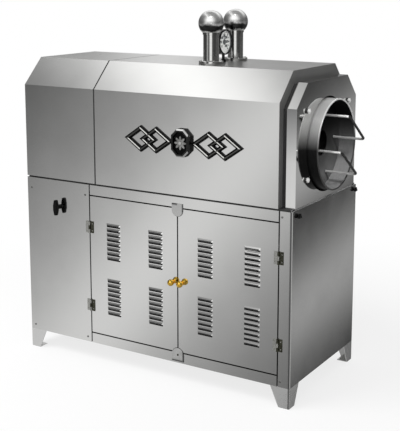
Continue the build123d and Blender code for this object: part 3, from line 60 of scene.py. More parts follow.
# Soft boxes of the studio as the metal sees them: azimuth from the front towards the mouth end,
# elevation, roll of the long side, half length, half width, all in degrees, brightness, and how
# hard the edge is, 1 for a bell that fades all the way. The sides in the photograph mirror the
# boxes down to lattice_glint, and the other sides and views mirror the rest
SOFT_BOXES = {
    "front_sweep": (-29.5, -10.7, 49, 45, 9.8, 0.58, 1),
    "front_ridge": (-39.9, -22, 45.7, 45, 3.1, 0.32, 1),
    "mouth_sweep": (155.9, -17.6, 46, 20, 2.0, 0.46, 1),
    "end_sweep": (154.2, -7.9, 37, 12, 2.0, 0.44, 1),
    "bevel_box": (-63.8, 59.2, 8.7, 45, 4.9, 1.26, 1),
    "far_haze": (-150, 6, 90, 25, 20, 0.18, 1),
    "flue_strip": (25, -4.2, 90, 3.2, 19, 1.6, 3),
    "camera_box": (15, 33, 0, 40, 24, 1.3, 1),
    "ornament_box": (22.4, 61.6, 0, 6, 3, 8, 2),
    "lattice_glint": (-120.2, -29.2, 0, 4, 4, 4, 2),
    "right_sweep": (57, -15.5, 0, 14, 7, 1.0, 1),
    "rear_sweep": (132, -16, -50, 16, 6, 0.6, 1),
    "left_sweep": (-128, -21, 50, 16, 12, 1.0, 1),
    "front_fill": (22, -19, 0, 36, 13, 0.42, 3),
    "left_fill": (-86, -19, 0, 34, 13, 0.42, 3),
    "mouth_fill": (100, -19, 0, 37, 13, 0.42, 3),
    "rear_fill": (-156, -20, 0, 34, 14, 0.42, 3),
    "upper_rear_fill": (-160, 38, 0, 45, 18, 0.40, 3),
    "rear_box": (-175, 45, 0, 40, 10, 0.8, 1),
}
LEAST_FACING = 0.001

# The white backdrop as the metal sees it, in the same terms, and the room round the soft boxes:
# its light at the ground and overhead, and a sheen low down, between two heights of a ray
BACKDROP = (-146.5, 5, 90, 25, 3.2, 1, 1)
GROUND_LIGHT = 0.03
ZENITH_LIGHT = 0.30
GLOW_START = -0.15
GROUND_SHEEN = 0.38
GROUND_DIP = (-0.54, -0.42)
WHITE = (1, 1, 1, 1)

# Floor, which is white of itself from the far end of its fade
FLOOR_RADIUS = 9.0
FLOOR_SIDES = 96
FLOOR_GAP = 0.0005
FLOOR_GLOW = 0.78
FLOOR_FADE = (0.9, 2.2)
FLOOR_TONE = (0.9, 0.9, 0.9, 1)

# Lamps; a spot has a place, a target, a cone in degrees, a size and watts
KEY_PLACE = (-1.6, -2.4, 4.2)
KEY_SIZE = 2.6
KEY_WATTS = 150
SPOTS = {
    "mouth_spot": ((2.6, -1.2, 2.6), (0.60, 0, 0.95), 12, 0.3, 360),
    "dial_spot": ((2.6, -1.2, 2.2), (0.115, 0, 1.366), 4, 0.05, 200),
}
SPOT_BLEND = 0.4

# Pairs of tones that a finish varies between, dark and light
SHEET_TONES = ((0.66, 0.66, 0.65), (0.71, 0.71, 0.70))
FOOT_TONES = ((0.84, 0.84, 0.83), (0.92, 0.92, 0.91))
BRIGHT_TONES = ((0.82, 0.82, 0.81), (0.90, 0.90, 0.89))
CHROME_TONES = ((0.58, 0.58, 0.57), (0.66, 0.66, 0.65))
DARK_CHROME_TONES = ((0.20, 0.20, 0.19), (0.26, 0.26, 0.25))
# Near black: the thermometer case's black chrome, the nuts' flats as painted shade, and the ball caps' dark
# band
NEAR_BLACK_TONES = ((0.03, 0.03, 0.03), (0.05, 0.05, 0.05))
FLUE_TONES = ((0.40, 0.40, 0.39), (0.48, 0.48, 0.47))
SATIN_TONES = ((0.56, 0.56, 0.55), (0.78, 0.78, 0.77))
LATTICE_TONES = ((0.09, 0.09, 0.086), (0.12, 0.12, 0.115))
MEDALLION_TONES = ((0.025, 0.025, 0.024), (0.04, 0.04, 0.039))
ROSETTE_TONES = ((0.20, 0.20, 0.19), (0.44, 0.44, 0.43))
BLACKENED_TONES = ((0.002, 0.002, 0.002), (0.005, 0.005, 0.005))
# The lid handles' crossbars are near black as painted shade
CROSSBAR_TONES = ((0.02, 0.02, 0.02), (0.04, 0.04, 0.04))
RIM_TONES = ((0.82, 0.82, 0.82), (0.90, 0.90, 0.89))
# Painted shade on the rim's lower half
RIM_SHADE_TONES = ((0.050, 0.050, 0.049), (0.080, 0.080, 0.079))
NECK_TONES = ((0.54, 0.54, 0.54), (0.62, 0.62, 0.61))
# Painted shade on the neck's lower half
NECK_SHADE_TONES = ((0.008, 0.008, 0.008), (0.016, 0.016, 0.016))
# Sooted black with painted shade inside the mouth, and grey as painted light on the lower side
SOOT_AND_SHADE_TONES = ((0.001, 0.001, 0.001), (0.004, 0.004, 0.004))
WALL_LIT_TONES = ((0.21, 0.21, 0.21), (0.27, 0.27, 0.27))
LID_LIT_TONES = ((0.09, 0.09, 0.09), (0.13, 0.13, 0.13))
PAINT_TONES = ((0.020, 0.020, 0.020), (0.040, 0.040, 0.039))
RAIL_FACE_TONES = ((0.32, 0.32, 0.32), (0.38, 0.38, 0.38))
# Dark hinge leaves are painted shade over an olive tarnish
DARK_HINGE_TONES = ((0.040, 0.040, 0.028), (0.120, 0.120, 0.090))
PALE_HINGE_TONES = ((0.42, 0.42, 0.39), (0.58, 0.58, 0.55))
GLASS_TONES = ((0.80, 0.86, 0.88), (0.88, 0.92, 0.94))
FLANGE_DARK_TONE = (0.30, 0.30, 0.30, 1)
CORNER_SHADE_TONE = (0.12, 0.12, 0.12, 1)
# Painted shade on the louvres' lips and along the door catches' edges
PAINTED_SHADE_TONE = (0.09, 0.09, 0.09, 1)
LENS_ALPHA = 0.06

# Sheet metal: thickness, waves, brush lines, and where its finish and its painted shade change, counted from
# the piece's edges
SHEET = 0.0015
SHEET_WAVE = 0.0002
BRUSH_DEPTH = 0.000008
BRUSH_GLOSS = 0.012
TOP_DULLNESS = 0.2
FACE_MARGIN = 0.0005
# Painted shade: a dark band between these distances from the corner at the front of the mouth end
CORNER_BAND = (0.0062, 0.0015)
CORNER_WRAP = 0.004
# The louvres' lips stand out past this depth and are darkened as painted shade
LOUVRE_LIP = 0.0047
PLATE_LEAN = 0.056
PLATE_BEVEL = 0.089
# The end plate's flange darkens between these depths below its top
PLATE_DARKENING = (0.291, 0.091)
# Painted shade along the catches' edges, fading between these distances from them
CATCH_EDGE = (0.009, 0.002)
RAIL_SKIN = 0.001

# Ornament: the blackened ground's height, the rosette's half width and half height, and the
# medallion's bevel, painted brighter as a highlight, between two heights and this far from the sides
ORNAMENT_GROUND = 0.0105
MEDALLION_HEART = (0.028, 0.040)
MEDALLION_BEVEL_HIGHLIGHT = (0.0163, 0.0216, 0.006)

# Drum, lid and nuts, where their finish changes and where their painted shade and painted light begin
NECK_LENGTH = 0.153
NECK_MIDDLE_RADIUS = 0.1765
BARREL_MIDDLE_RADIUS = 0.2335
# The neck is near black as painted shade below the axis, fading out up to this rise
NECK_SHADE = (0, 0.115)
# Painted light: the side towards this way inside the mouth is grey, the other black as painted shade
LIT_SIDE = (0, 0.30, -0.95)
LIT_REACH = (-0.08, 0.13)
# Within this distance of the handles' outer end the crossbars are near black as painted shade
CROSSBAR_DEPTH = 0.0102
# The nuts' flats within this distance of the plate are near black as painted shade
NUT_FLATS = 0.006

# Flues: flanges, and the dark band round a ball cap, as heights over the ball's centre
FLANGE_RADIUS = 0.05
FLANGE_RISE = 0.013
FLANGE_BAND = 0.0015
BALL_RADIUS = 0.0515
BALL_DARK_BAND = (-0.034, -0.027, -0.010, -0.001)
BAND_DRIFT = 0.006

# Screws: radii, and the profile of a domed head and its slot as multiples of its radius
PANEL_SCREW = 0.0042
SMALL_SCREW = 0.0026
SCREW_PROFILE = ((1, -0.1), (1, 0.18), (0.86, 0.42), (0.55, 0.60), (0, 0.68))
SCREW_SIDES = 20
SLOT_LENGTH = 2.4
SLOT_WIDTH = 0.32
SLOT_DEPTH = 1
SLOT_FLOOR = 0.36
SLOT_TURN = math.radians(37)
FRONT_SCREW_X = (-0.674, -0.381)
FRONT_SCREW_Z = (0.726, 0.103)
STILE_SCREW_X = 0.543
STILE_SCREW_Z = (0.749, 0.103)
BACK_SCREW_X = (-0.674, -0.26, 0.15, 0.56)
SIDE_SCREW_Y = (-0.27, 0.27)
EDGE_SCREW_Z = (0.103, 0.745)
CATCH_SCREW_HEIGHT = 0.116
HINGE_LEAF = 0.002
HINGE_SCREW_INSET = 0.006
HINGE_SCREW_RISES = (0.010, 0.040)
FLANGE_SCREW_RING = 0.042
FLANGE_SCREW_START = math.radians(45)
FLANGE_SCREWS = 4

# Beads: the neck's rolled rim and the welds at the feet of the lid's handles
RIM_BEAD = 0.0034
RIM_SIDES = 128
RIM_TUBE_SIDES = 14
HANDLE_FEET = ((-0.040, 0.118), (0.108, 0.011))
HANDLE_ROD = 0.005
WELD_BEAD = 0.0022
WELD_SIDES = 56
WELD_TUBE_SIDES = 10
WELD_RIPPLE = 0.18
WELD_RIPPLES = 14
SHARP_ANGLE = math.radians(35)

# Dial: figures from 0 to 300 over 270 degrees, and the cap on the needle's arbor
DIAL_SWEEP = 135
DIAL_STEPS = 12
DIAL_FIGURES = (0, 50, 100, 150, 200, 250, 300)
TICK_RING = 0.0445
TICK_LENGTH = 0.007
LONG_TICK_LENGTH = 0.011
TICK_WIDTH = 0.0045
FIGURE_RING = 0.0245
FIGURE_SIZE = 0.014
FIGURE_WEIGHT = 0.0010
FIGURE_STEPS = 3
MARK_RISE = 0.0003
HUB_PROFILE = ((0.011, 0), (0.011, 0.0012), (0.009, 0.0022), (0.005, 0.0028), (0, 0.003))
HUB_SIDES = 32
HUB_SINK = 0.0005


def middle(node):
    """The centre of a node's box."""
    low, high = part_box(node)
    return (low + high) / 2


# Places read from the frame
cabinet_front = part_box("mouth_stile")[0].y
cabinet_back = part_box("back_panel")[0].y + SHEET
cabinet_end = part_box("mouth_side_panel")[1].x
drive_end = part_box("drive_side_panel")[0].x
hood_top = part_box("hood_main")[1].z
flange_top = hood_top + FLANGE_RISE
plate_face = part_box("end_plate")[1].x
plate_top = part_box("end_plate")[1].z
drum_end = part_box("drum_shell")[1].x
drum_axis_height = middle("lid_disc").z
ball_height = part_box("flue_balls")[1].z - BALL_RADIUS


def put(tree, kind, inputs=None, **settings):
    """Adds a shader node with these settings and inputs."""
    node = tree.nodes.new("ShaderNode" + kind)
    for name, value in settings.items():
        setattr(node, name, value)
    for name, value in (inputs or {}).items():
        feed(tree, node.inputs[name], value)
    return node


def feed(tree, socket, value):
    """Links a socket's source to the input, or sets it to a constant."""
    if isinstance(value, bpy.types.NodeSocket):
        tree.links.new(value, socket)
    else:
        socket.default_value = value


def math_node(tree, operation, a, b=0.0):
    """A sum, product or comparison of two numbers."""
    return put(tree, "Math", {0: a, 1: b}, operation=operation).outputs[0]


def vector_node(tree, operation, a, b=(0, 0, 0)):
    """A sum, difference or product of two vectors."""
    return put(tree, "VectorMath", {0: a, 1: b}, operation=operation).outputs["Vector"]


def dot(tree, vector, fixed):
    """How far a vector reaches along a fixed one."""
    return put(tree, "VectorMath", {0: vector, 1: fixed}, operation="DOT_PRODUCT").outputs["Value"]


def length_of(tree, vector):
    """A vector's length."""
    return put(tree, "VectorMath", {0: vector}, operation="LENGTH").outputs["Value"]


def between(tree, factor, low, high, start=0.3, end=0.7):
    """Values from low to high as a factor goes from start to end, which fit a noise."""
    ranged = put(tree, "MapRange", {
        "Value": factor, "From Min": start, "From Max": end, "To Min": low, "To Max": high,
    })
    return ranged.outputs["Result"]


def ramp(tree, value, start, end):
    """0 up to the start, 1 from the end on, and an even rise between them."""
    return between(tree, value, 0, 1, start, end)


def pick(tree, mask, outside, inside):
    """One value where a mask is 0, and another where it is 1."""
    return between(tree, mask, outside, inside, 0, 1)


def within(tree, value, low, high):
    """1 where a value lies between two limits, otherwise 0."""
    above = math_node(tree, "GREATER_THAN", value, low)
    return math_node(tree, "MULTIPLY", above, math_node(tree, "LESS_THAN", value, high))


def soft_box(tree, ray, azimuth, elevation, roll, half_length, half_width, brightness, edge):
    """Brightness of one soft box along a ray, fading along and across the box."""
    around = math.radians(azimuth)
    up = math.radians(elevation)
    turn = math.radians(roll)
    centre = Vector((math.sin(around) * math.cos(up), -math.cos(around) * math.cos(up), math.sin(up)))
    level = Vector((math.cos(around), math.sin(around), 0))
    rise = centre.cross(level)
    along = (level * math.cos(turn) + rise * math.sin(turn)) / math.tan(math.radians(half_length))
    across = (rise * math.cos(turn) - level * math.sin(turn)) / math.tan(math.radians(half_width))
    facing = math_node(tree, "MAXIMUM", dot(tree, ray, centre), LEAST_FACING)
    offset = put(tree, "CombineXYZ", {0: dot(tree, ray, along), 1: dot(tree, ray, across)}).outputs[0]
    spread = math_node(tree, "DIVIDE", length_of(tree, offset), facing)
    squared = math_node(tree, "MULTIPLY", spread, spread)
    steep = math_node(tree, "POWER", squared, edge)
    bell = math_node(tree, "EXPONENT", math_node(tree, "MULTIPLY", steep, -1))
    return math_node(tree, "MULTIPLY", bell, brightness)


def make_world():
    """White to the camera and through glass, and a dim studio with soft boxes to everything else.
    The metal shows the white too, as the strip of it that stands behind the machine."""
    world = bpy.data.worlds.new("studio")
    bpy.context.scene.world = world
    world.use_nodes = True
    tree = world.node_tree
    tree.nodes.clear()
    ray = put(tree, "TexCoord").outputs["Generated"]
    height = put(tree, "SeparateXYZ", {0: ray}).outputs["Z"]
    room = between(tree, height, GROUND_LIGHT, ZENITH_LIGHT, GLOW_START, 1)
    glow = math_node(tree, "ADD", room, between(tree, height, GROUND_SHEEN, 0, *GROUND_DIP))
    for values in SOFT_BOXES.values():
        glow = math_node(tree, "ADD", glow, soft_box(tree, ray, *values))
    path = put(tree, "LightPath")
    direct = math_node(tree, "MAXIMUM", path.outputs["Is Camera Ray"], path.outputs["Is Transmission Ray"])
    mirrored = math_node(tree, "MULTIPLY", path.outputs["Is Glossy Ray"], soft_box(tree, ray, *BACKDROP))
    white = math_node(tree, "MAXIMUM", direct, mirrored)
    strength = put(tree, "Mix", {"Factor": white, "A": glow, "B": 1.0}).outputs["Result"]
    background = put(tree, "Background", {"Color": WHITE, "Strength": strength})
    put(tree, "OutputWorld", {"Surface": background.outputs[0]})


def make_camera():
    """The photograph's camera, tilted down a little and shifted for its framing."""
    data = bpy.data.cameras.new("camera")
    data.lens = CAMERA_LENS
    data.shift_y = CAMERA_SHIFT
    camera = bpy.data.objects.new("camera", data)
    camera.location = CAMERA_PLACE
    camera.rotation_euler = [math.radians(angle) for angle in CAMERA_TURN]
    bpy.context.scene.collection.objects.link(camera)
    bpy.context.scene.camera = camera


def aim(lamp, place, target):
    """Puts a lamp in its place, turned to a target and out of the metal's sight."""
    lamp.location = place
    lamp.rotation_euler = (Vector(target) - lamp.location).to_track_quat("-Z", "Y").to_euler()
    lamp.visible_glossy = False
    bpy.context.scene.collection.objects.link(lamp)


def make_lamps():
    """A large soft lamp for the matt pieces and the floor's shadow, and spots into the mouth and
    on the dial."""
    key = bpy.data.lights.new("key_lamp", "AREA")
    key.size = KEY_SIZE
    key.energy = KEY_WATTS
    aim(bpy.data.objects.new("key_lamp", key), KEY_PLACE, (cad_low + cad_high) / 2)
    for name, (place, target, cone, size, watts) in SPOTS.items():
        spot = bpy.data.lights.new(name, "SPOT")
        spot.spot_size = math.radians(cone)
        spot.spot_blend = SPOT_BLEND
        spot.shadow_soft_size = size
        spot.energy = watts
        aim(bpy.data.objects.new(name, spot), place, target)


def floor_material():
    """Pale floor: partly its own white, partly lit, so that it takes a faint shadow."""
    material = bpy.data.materials.new("pale_floor")
    material.use_nodes = True
    tree = material.node_tree
    tree.nodes.clear()
    reach = length_of(tree, put(tree, "TexCoord").outputs["Object"])
    share = between(tree, reach, FLOOR_GLOW, 1.0, *FLOOR_FADE)
    lit = put(tree, "BsdfDiffuse", {"Color": FLOOR_TONE})
    own = put(tree, "Emission", {"Color": WHITE, "Strength": 1.0})
    surface = put(tree, "MixShader", {0: share, 1: lit.outputs[0], 2: own.outputs[0]})
    put(tree, "OutputMaterial", {"Surface": surface.outputs[0]})
    return material


def make_floor():
    """A wide disc under the feet that neither shows in the metal nor lights it."""
    mesh = bpy.data.meshes.new("floor")
    shape = bmesh.new()
    bmesh.ops.create_circle(shape, cap_ends=True, segments=FLOOR_SIDES, radius=FLOOR_RADIUS)
    shape.to_mesh(mesh)
    shape.free()
    floor = bpy.data.objects.new("floor", mesh)
    floor.location.z = cad_low.z - FLOOR_GAP
    mesh.materials.append(floor_material())
    floor.visible_glossy = False
    floor.visible_diffuse = False
    bpy.context.scene.collection.objects.link(floor)


def start_material(name):
    """A new material with only a Principled shader and its output."""
    material = bpy.data.materials.new(name)
    material.use_nodes = True
    tree = material.node_tree
    tree.nodes.clear()
    shader = put(tree, "BsdfPrincipled")
    put(tree, "OutputMaterial", {"Surface": shader.outputs[0]})
    return material, tree, shader.inputs


def noise(tree, scale, stretch=(1, 1, 1), detail=3.0):
    """Noise in the piece's own metres, finer along an axis that is stretched."""
    place = put(tree, "TexCoord").outputs["Object"]
    mapped = put(tree, "Mapping", {"Vector": place, "Scale": stretch}).outputs[0]
    texture = put(tree, "TexNoise", {"Vector": mapped, "Scale": scale, "Detail": detail})
    return texture.outputs["Fac"]


def mixed(tree, factor, first, second):
    """A colour from first to second as the factor goes from 0 to 1."""
    mix = put(tree, "Mix", {"Factor": factor}, data_type="RGBA")
    feed(tree, mix.inputs[6], first)
    feed(tree, mix.inputs[7], second)
    return mix.outputs[2]


def tones(tree, factor, dark, light):
    """A colour between two tones."""
    return mixed(tree, between(tree, factor, 0, 1), (*dark, 1), (*light, 1))


def set_rough(tree, sockets, factor, rough):
    """Roughness that a noise varies between two values."""
    feed(tree, sockets["Roughness"], between(tree, factor, *rough))


def along_axis(tree, axis):
    """The piece's own coordinate along X, Y or Z, in metres."""
    place = put(tree, "TexCoord").outputs["Object"]
    return put(tree, "SeparateXYZ", {0: place}).outputs[axis]


def offset_from(tree, origin):
    """The way from a fixed point to the shaded one."""
    return vector_node(tree, "SUBTRACT", put(tree, "TexCoord").outputs["Object"], origin)


def bump(tree, height, distance, under=None):
    """Surface relief of a given depth in metres, on top of another relief."""
    inputs = {"Height": height, "Distance": distance, "Strength": 1.0}
    if under:
        inputs["Normal"] = under
    return put(tree, "Bump", inputs).outputs[0]


def corner_line(tree, colour, length, depth):
    """Paints shade as a dark band just short of the folded corner at the front of the mouth end."""
    start, end = CORNER_BAND
    at_end = within(tree, length, cabinet_end - start, cabinet_end - end)
    at_front = math_node(tree, "LESS_THAN", depth, cabinet_front + CORNER_WRAP)
    return mixed(tree, math_node(tree, "MULTIPLY", at_end, at_front), colour, CORNER_SHADE_TONE)


def sheet_steel(name, dark, light, rough, lip=0.0, lean=0.0):
    """Polished sheet: soft smudges, fine level brush lines and the slight waves of thin plate.
    What stands out past the lip is darkened as painted shade, for the shadowed slot under each louvre.
    A plate that leans back turns what it mirrors upwards, and its flange is darker towards the top."""
    material, tree, sockets = start_material(name)
    sockets["Metallic"].default_value = 1.0
    smudges = noise(tree, scale=5, detail=5)
    lines = noise(tree, scale=30, stretch=(1, 1, 40), detail=2)
    length, depth, height = (along_axis(tree, axis) for axis in "XYZ")
    # The dark band at the folded corner is painted shade
    colour = corner_line(tree, tones(tree, smudges, dark, light), length, depth)
    relief = bump(tree, noise(tree, scale=2.2, detail=1), SHEET_WAVE)
    # Painted shade: the louvres' lips are dark for the shadowed slots under them
    if lip:
        painted_shade = math_node(tree, "LESS_THAN", depth, cabinet_front - lip)
        colour = mixed(tree, painted_shade, colour, PAINTED_SHADE_TONE)
    if lean:
        face = math_node(tree, "GREATER_THAN", length, plate_face - FACE_MARGIN)
        below = math_node(tree, "LESS_THAN", height, plate_top - PLATE_BEVEL)
        flange = math_node(tree, "MULTIPLY", below, math_node(tree, "SUBTRACT", 1, face))
        # The flange is darker towards the top of the plate
        start, end = PLATE_DARKENING
        darkened = math_node(tree, "MULTIPLY", flange, ramp(tree, height, plate_top - start, plate_top - end))
        colour = mixed(tree, darkened, colour, FLANGE_DARK_TONE)
        leaning = math_node(tree, "MAXIMUM", face, below)
        drop = math_node(tree, "MULTIPLY", math_node(tree, "MULTIPLY", height, leaning), -1)
        relief = bump(tree, drop, lean, under=relief)
    feed(tree, sockets["Base Color"], colour)
    patchy = between(tree, smudges, *rough)
    brushed = between(tree, lines, -BRUSH_GLOSS, BRUSH_GLOSS)
    on_top = math_node(tree, "GREATER_THAN", height, hood_top - FACE_MARGIN)
    dulled = math_node(tree, "MULTIPLY", on_top, TOP_DULLNESS)
    feed(tree, sockets["Roughness"], math_node(tree, "ADD", math_node(tree, "ADD", patchy, brushed), dulled))
    feed(tree, sockets["Normal"], bump(tree, lines, BRUSH_DEPTH, under=relief))
    return material


def plain_material(name, dark, light, rough, scale, metallic=0.0, relief=0.0, shine=0.5):
    """A mottled finish: two tones, uneven gloss and a little relief."""
    material, tree, sockets = start_material(name)
    sockets["Specular IOR Level"].default_value = shine
    sockets["Metallic"].default_value = metallic
    mottle = noise(tree, scale, detail=4)
    feed(tree, sockets["Base Color"], tones(tree, mottle, dark, light))
    set_rough(tree, sockets, mottle, rough)
    if relief:
        feed(tree, sockets["Normal"], bump(tree, mottle, relief))
    return material


def wiping_marks(tree):
    """Faint marks that a cloth leaves on bright plate."""
    return noise(tree, scale=60, stretch=(1, 1, 3), detail=4)


def chrome_material(name, dark, light, rough):
    """Bright plate with faint wiping marks."""
    material, tree, sockets = start_material(name)
    sockets["Metallic"].default_value = 1.0
    marks = wiping_marks(tree)
    feed(tree, sockets["Base Color"], tones(tree, marks, dark, light))
    set_rough(tree, sockets, marks, rough)
    return material


def stepped_plate(name, step, inner, outer, metallic, rough):
    """Plate in two pairs of tones, the outer pair where it stands out past a place along X."""
    material, tree, sockets = start_material(name)
    past = math_node(tree, "GREATER_THAN", along_axis(tree, "X"), step)
    marks = noise(tree, scale=60, detail=4)
    colour = mixed(tree, past, tones(tree, marks, *inner), tones(tree, marks, *outer))
    feed(tree, sockets["Base Color"], colour)
    sockets["Metallic"].default_value = metallic
    set_rough(tree, sockets, marks, rough)
    return material


def flue_material():
    """Plated tube on a flange whose upper face is brighter."""
    material, tree, sockets = start_material("flue_steel")
    on_flange = within(tree, along_axis(tree, "Z"), flange_top - FLANGE_BAND, flange_top + FACE_MARGIN)
    marks = wiping_marks(tree)
    tube = tones(tree, marks, *FLUE_TONES)
    flange = tones(tree, marks, *CHROME_TONES)
    feed(tree, sockets["Base Color"], mixed(tree, on_flange, tube, flange))
    sockets["Metallic"].default_value = 0.95
    set_rough(tree, sockets, marks, (0.05, 0.10))
    return material


def ball_material():
    """Bright plate with an uneven dark band round the ball's lower half."""
    material, tree, sockets = start_material("ball_chrome")
    marks = wiping_marks(tree)
    drift = between(tree, noise(tree, scale=35, detail=3), -BAND_DRIFT, BAND_DRIFT)
    rise = math_node(tree, "ADD", math_node(tree, "SUBTRACT", along_axis(tree, "Z"), ball_height), drift)
    foot_start, foot_end, crown_start, crown_end = BALL_DARK_BAND
    over_foot = ramp(tree, rise, foot_start, foot_end)
    under_crown = between(tree, rise, 1, 0, crown_start, crown_end)
    dark_band = math_node(tree, "MULTIPLY", over_foot, under_crown)
    bright = tones(tree, marks, *BRIGHT_TONES)
    band_tone = tones(tree, marks, *NEAR_BLACK_TONES)
    feed(tree, sockets["Base Color"], mixed(tree, dark_band, bright, band_tone))
    sockets["Metallic"].default_value = 1.0
    set_rough(tree, sockets, marks, (0.27, 0.33))
    return material


def ornament_material(name, node, dark, light, heart=None, bevel=None):
    """Plated relief over a blackened ground: whatever lies lower than the ground's height is black.
    The heart, an oval of this half width and half height, is brighter, and the bevel between two heights
    as far as this distance from the sides is painted brighter as a highlight."""
    material, tree, sockets = start_material(name)
    low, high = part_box(node)
    depth = along_axis(tree, "Y")
    ground = math_node(tree, "GREATER_THAN", depth, high.y - ORNAMENT_GROUND)
    marks = noise(tree, scale=90, detail=4)
    plate = tones(tree, marks, dark, light)
    if heart:
        shares = (1 / heart[0], 0, 1 / heart[1])
        reach = length_of(tree, vector_node(tree, "MULTIPLY", offset_from(tree, middle(node)), shares))
        in_heart = math_node(tree, "LESS_THAN", reach, 1)
        plate = mixed(tree, in_heart, plate, tones(tree, marks, *ROSETTE_TONES))
    if bevel:
        # Painted highlight on the bevel
        start, end, inset = bevel
        edge = within(tree, depth, high.y - end, high.y - start)
        between_sides = within(tree, along_axis(tree, "X"), low.x + inset, high.x - inset)
        painted_highlight = math_node(tree, "MULTIPLY", edge, between_sides)
        plate = mixed(tree, painted_highlight, plate, tones(tree, marks, *CHROME_TONES))
    feed(tree, sockets["Base Color"], mixed(tree, ground, plate, tones(tree, marks, *BLACKENED_TONES)))
    feed(tree, sockets["Metallic"], math_node(tree, "SUBTRACT", 1, ground))
    sockets["Specular IOR Level"].default_value = 0.1
    feed(tree, sockets["Roughness"], pick(tree, ground, between(tree, marks, 0.06, 0.12), 0.5))
    return material


def sooty(tree, factor, offset, lit_tones):
    """Sooted, black as painted shade on the side that lies uppermost at rest, and grey as painted light on
    the other.
    """
    soot_and_shade = tones(tree, factor, *SOOT_AND_SHADE_TONES)
    painted_lit = tones(tree, factor, *lit_tones)
    share = ramp(tree, dot(tree, offset, LIT_SIDE), *LIT_REACH)
    return mixed(tree, math_node(tree, "MULTIPLY", share, share), soot_and_shade, painted_lit)


def drum_material():
    """Brushed steel outside, near black as painted shade on the side that lies lowest at rest, and inside,
    sooted, black as painted shade on the side that lies uppermost at rest and grey as painted light on the
    other."""
    material, tree, sockets = start_material("drum_skin")
    offset = offset_from(tree, (0, 0, drum_axis_height))
    radius = length_of(tree, vector_node(tree, "MULTIPLY", offset, (0, 1, 1)))
    in_neck = math_node(tree, "GREATER_THAN", along_axis(tree, "X"), drum_end - NECK_LENGTH)
    wall = pick(tree, in_neck, BARREL_MIDDLE_RADIUS, NECK_MIDDLE_RADIUS)
    inside = math_node(tree, "LESS_THAN", radius, wall)
    grain = noise(tree, scale=45, stretch=(12, 1, 1), detail=4)
    # Painted shade: the neck is near black below the axis
    unshaded = ramp(tree, put(tree, "SeparateXYZ", {0: offset}).outputs["Z"], *NECK_SHADE)
    darkened = tones(tree, grain, *NECK_SHADE_TONES)
    steel = mixed(tree, unshaded, darkened, tones(tree, grain, *NECK_TONES))
    # Inside: sooted, black as painted shade above and grey as painted light below
    soot_and_shade = sooty(tree, grain, offset, WALL_LIT_TONES)
    feed(tree, sockets["Base Color"], mixed(tree, inside, steel, soot_and_shade))
    feed(tree, sockets["Metallic"], pick(tree, inside, 0.5, 0))
    sockets["Specular IOR Level"].default_value = 0.15
    feed(tree, sockets["Roughness"], pick(tree, inside, between(tree, grain, 0.40, 0.50), 0.85))
    feed(tree, sockets["Normal"], bump(tree, grain, 0.00002))
    return material


def rim_material():
    """Worn steel of the neck's rim, near black as painted shade below the axis, as the neck is."""
    material, tree, sockets = start_material("rim_steel")
    rise = math_node(tree, "SUBTRACT", along_axis(tree, "Z"), drum_axis_height)
    grain = noise(tree, scale=45, detail=4)
    bright = tones(tree, grain, *RIM_TONES)
    darkened = tones(tree, grain, *RIM_SHADE_TONES)
    # Painted shade: the rim is near black below the axis
    feed(tree, sockets["Base Color"], mixed(tree, ramp(tree, rise, *NECK_SHADE), darkened, bright))
    sockets["Metallic"].default_value = 0.5
    set_rough(tree, sockets, grain, (0.30, 0.40))
    return material


def lid_material():
    """Iron lid, sooted, black as painted shade on the side that lies uppermost at rest and grey as painted
    light on the other.
    """
    material, tree, sockets = start_material("lid_steel")
    offset = offset_from(tree, (0, 0, drum_axis_height))
    mottle = noise(tree, scale=16, detail=4)
    # Painted shade above and painted light below on the lid
    feed(tree, sockets["Base Color"], sooty(tree, mottle, offset, LID_LIT_TONES))
    sockets["Specular IOR Level"].default_value = 0.05
    set_rough(tree, sockets, mottle, (0.5, 0.65))
    feed(tree, sockets["Normal"], bump(tree, mottle, 0.0001))
    return material


def frame_material():
    """Black paint on the welded frame, with the face of the rail that shows below the end plate in a lighter
    grey.
    """
    material, tree, sockets = start_material("frame_paint")
    rail_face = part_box("frame_rails")[1].x
    lighter_face = math_node(tree, "GREATER_THAN", along_axis(tree, "X"), rail_face - RAIL_SKIN)
    mottle = noise(tree, scale=60, detail=4)
    paint = tones(tree, mottle, *PAINT_TONES)
    feed(tree, sockets["Base Color"], mixed(tree, lighter_face, paint, tones(tree, mottle, *RAIL_FACE_TONES)))
    set_rough(tree, sockets, mottle, (0.55, 0.75))
    feed(tree, sockets["Normal"], bump(tree, mottle, 0.0001))
    return material


def catch_material():
    """Satin plate with painted shade along the left half of the upper catch's top edge, both right edges and
    the lower catch's foot."""
    material, tree, sockets = start_material("catch_plate")
    sockets["Metallic"].default_value = 1.0
    low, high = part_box("door_catches")
    length = along_axis(tree, "X")
    height = along_axis(tree, "Z")
    wide, narrow = CATCH_EDGE
    # Painted shade along the catches' edges
    left_half = math_node(tree, "LESS_THAN", length, middle("door_catches").x)
    top = math_node(tree, "MULTIPLY", left_half, ramp(tree, height, high.z - wide, high.z - narrow))
    right = ramp(tree, length, high.x - wide, high.x - narrow)
    foot = between(tree, height, 1, 0, low.z + narrow, low.z + wide)
    painted_shade = math_node(tree, "MAXIMUM", top, math_node(tree, "MAXIMUM", right, foot))
    smudges = noise(tree, scale=30, detail=4)
    feed(tree, sockets["Base Color"], mixed(tree, painted_shade, tones(tree, smudges, *SATIN_TONES), PAINTED_SHADE_TONE))
    set_rough(tree, sockets, smudges, (0.20, 0.30))
    return material


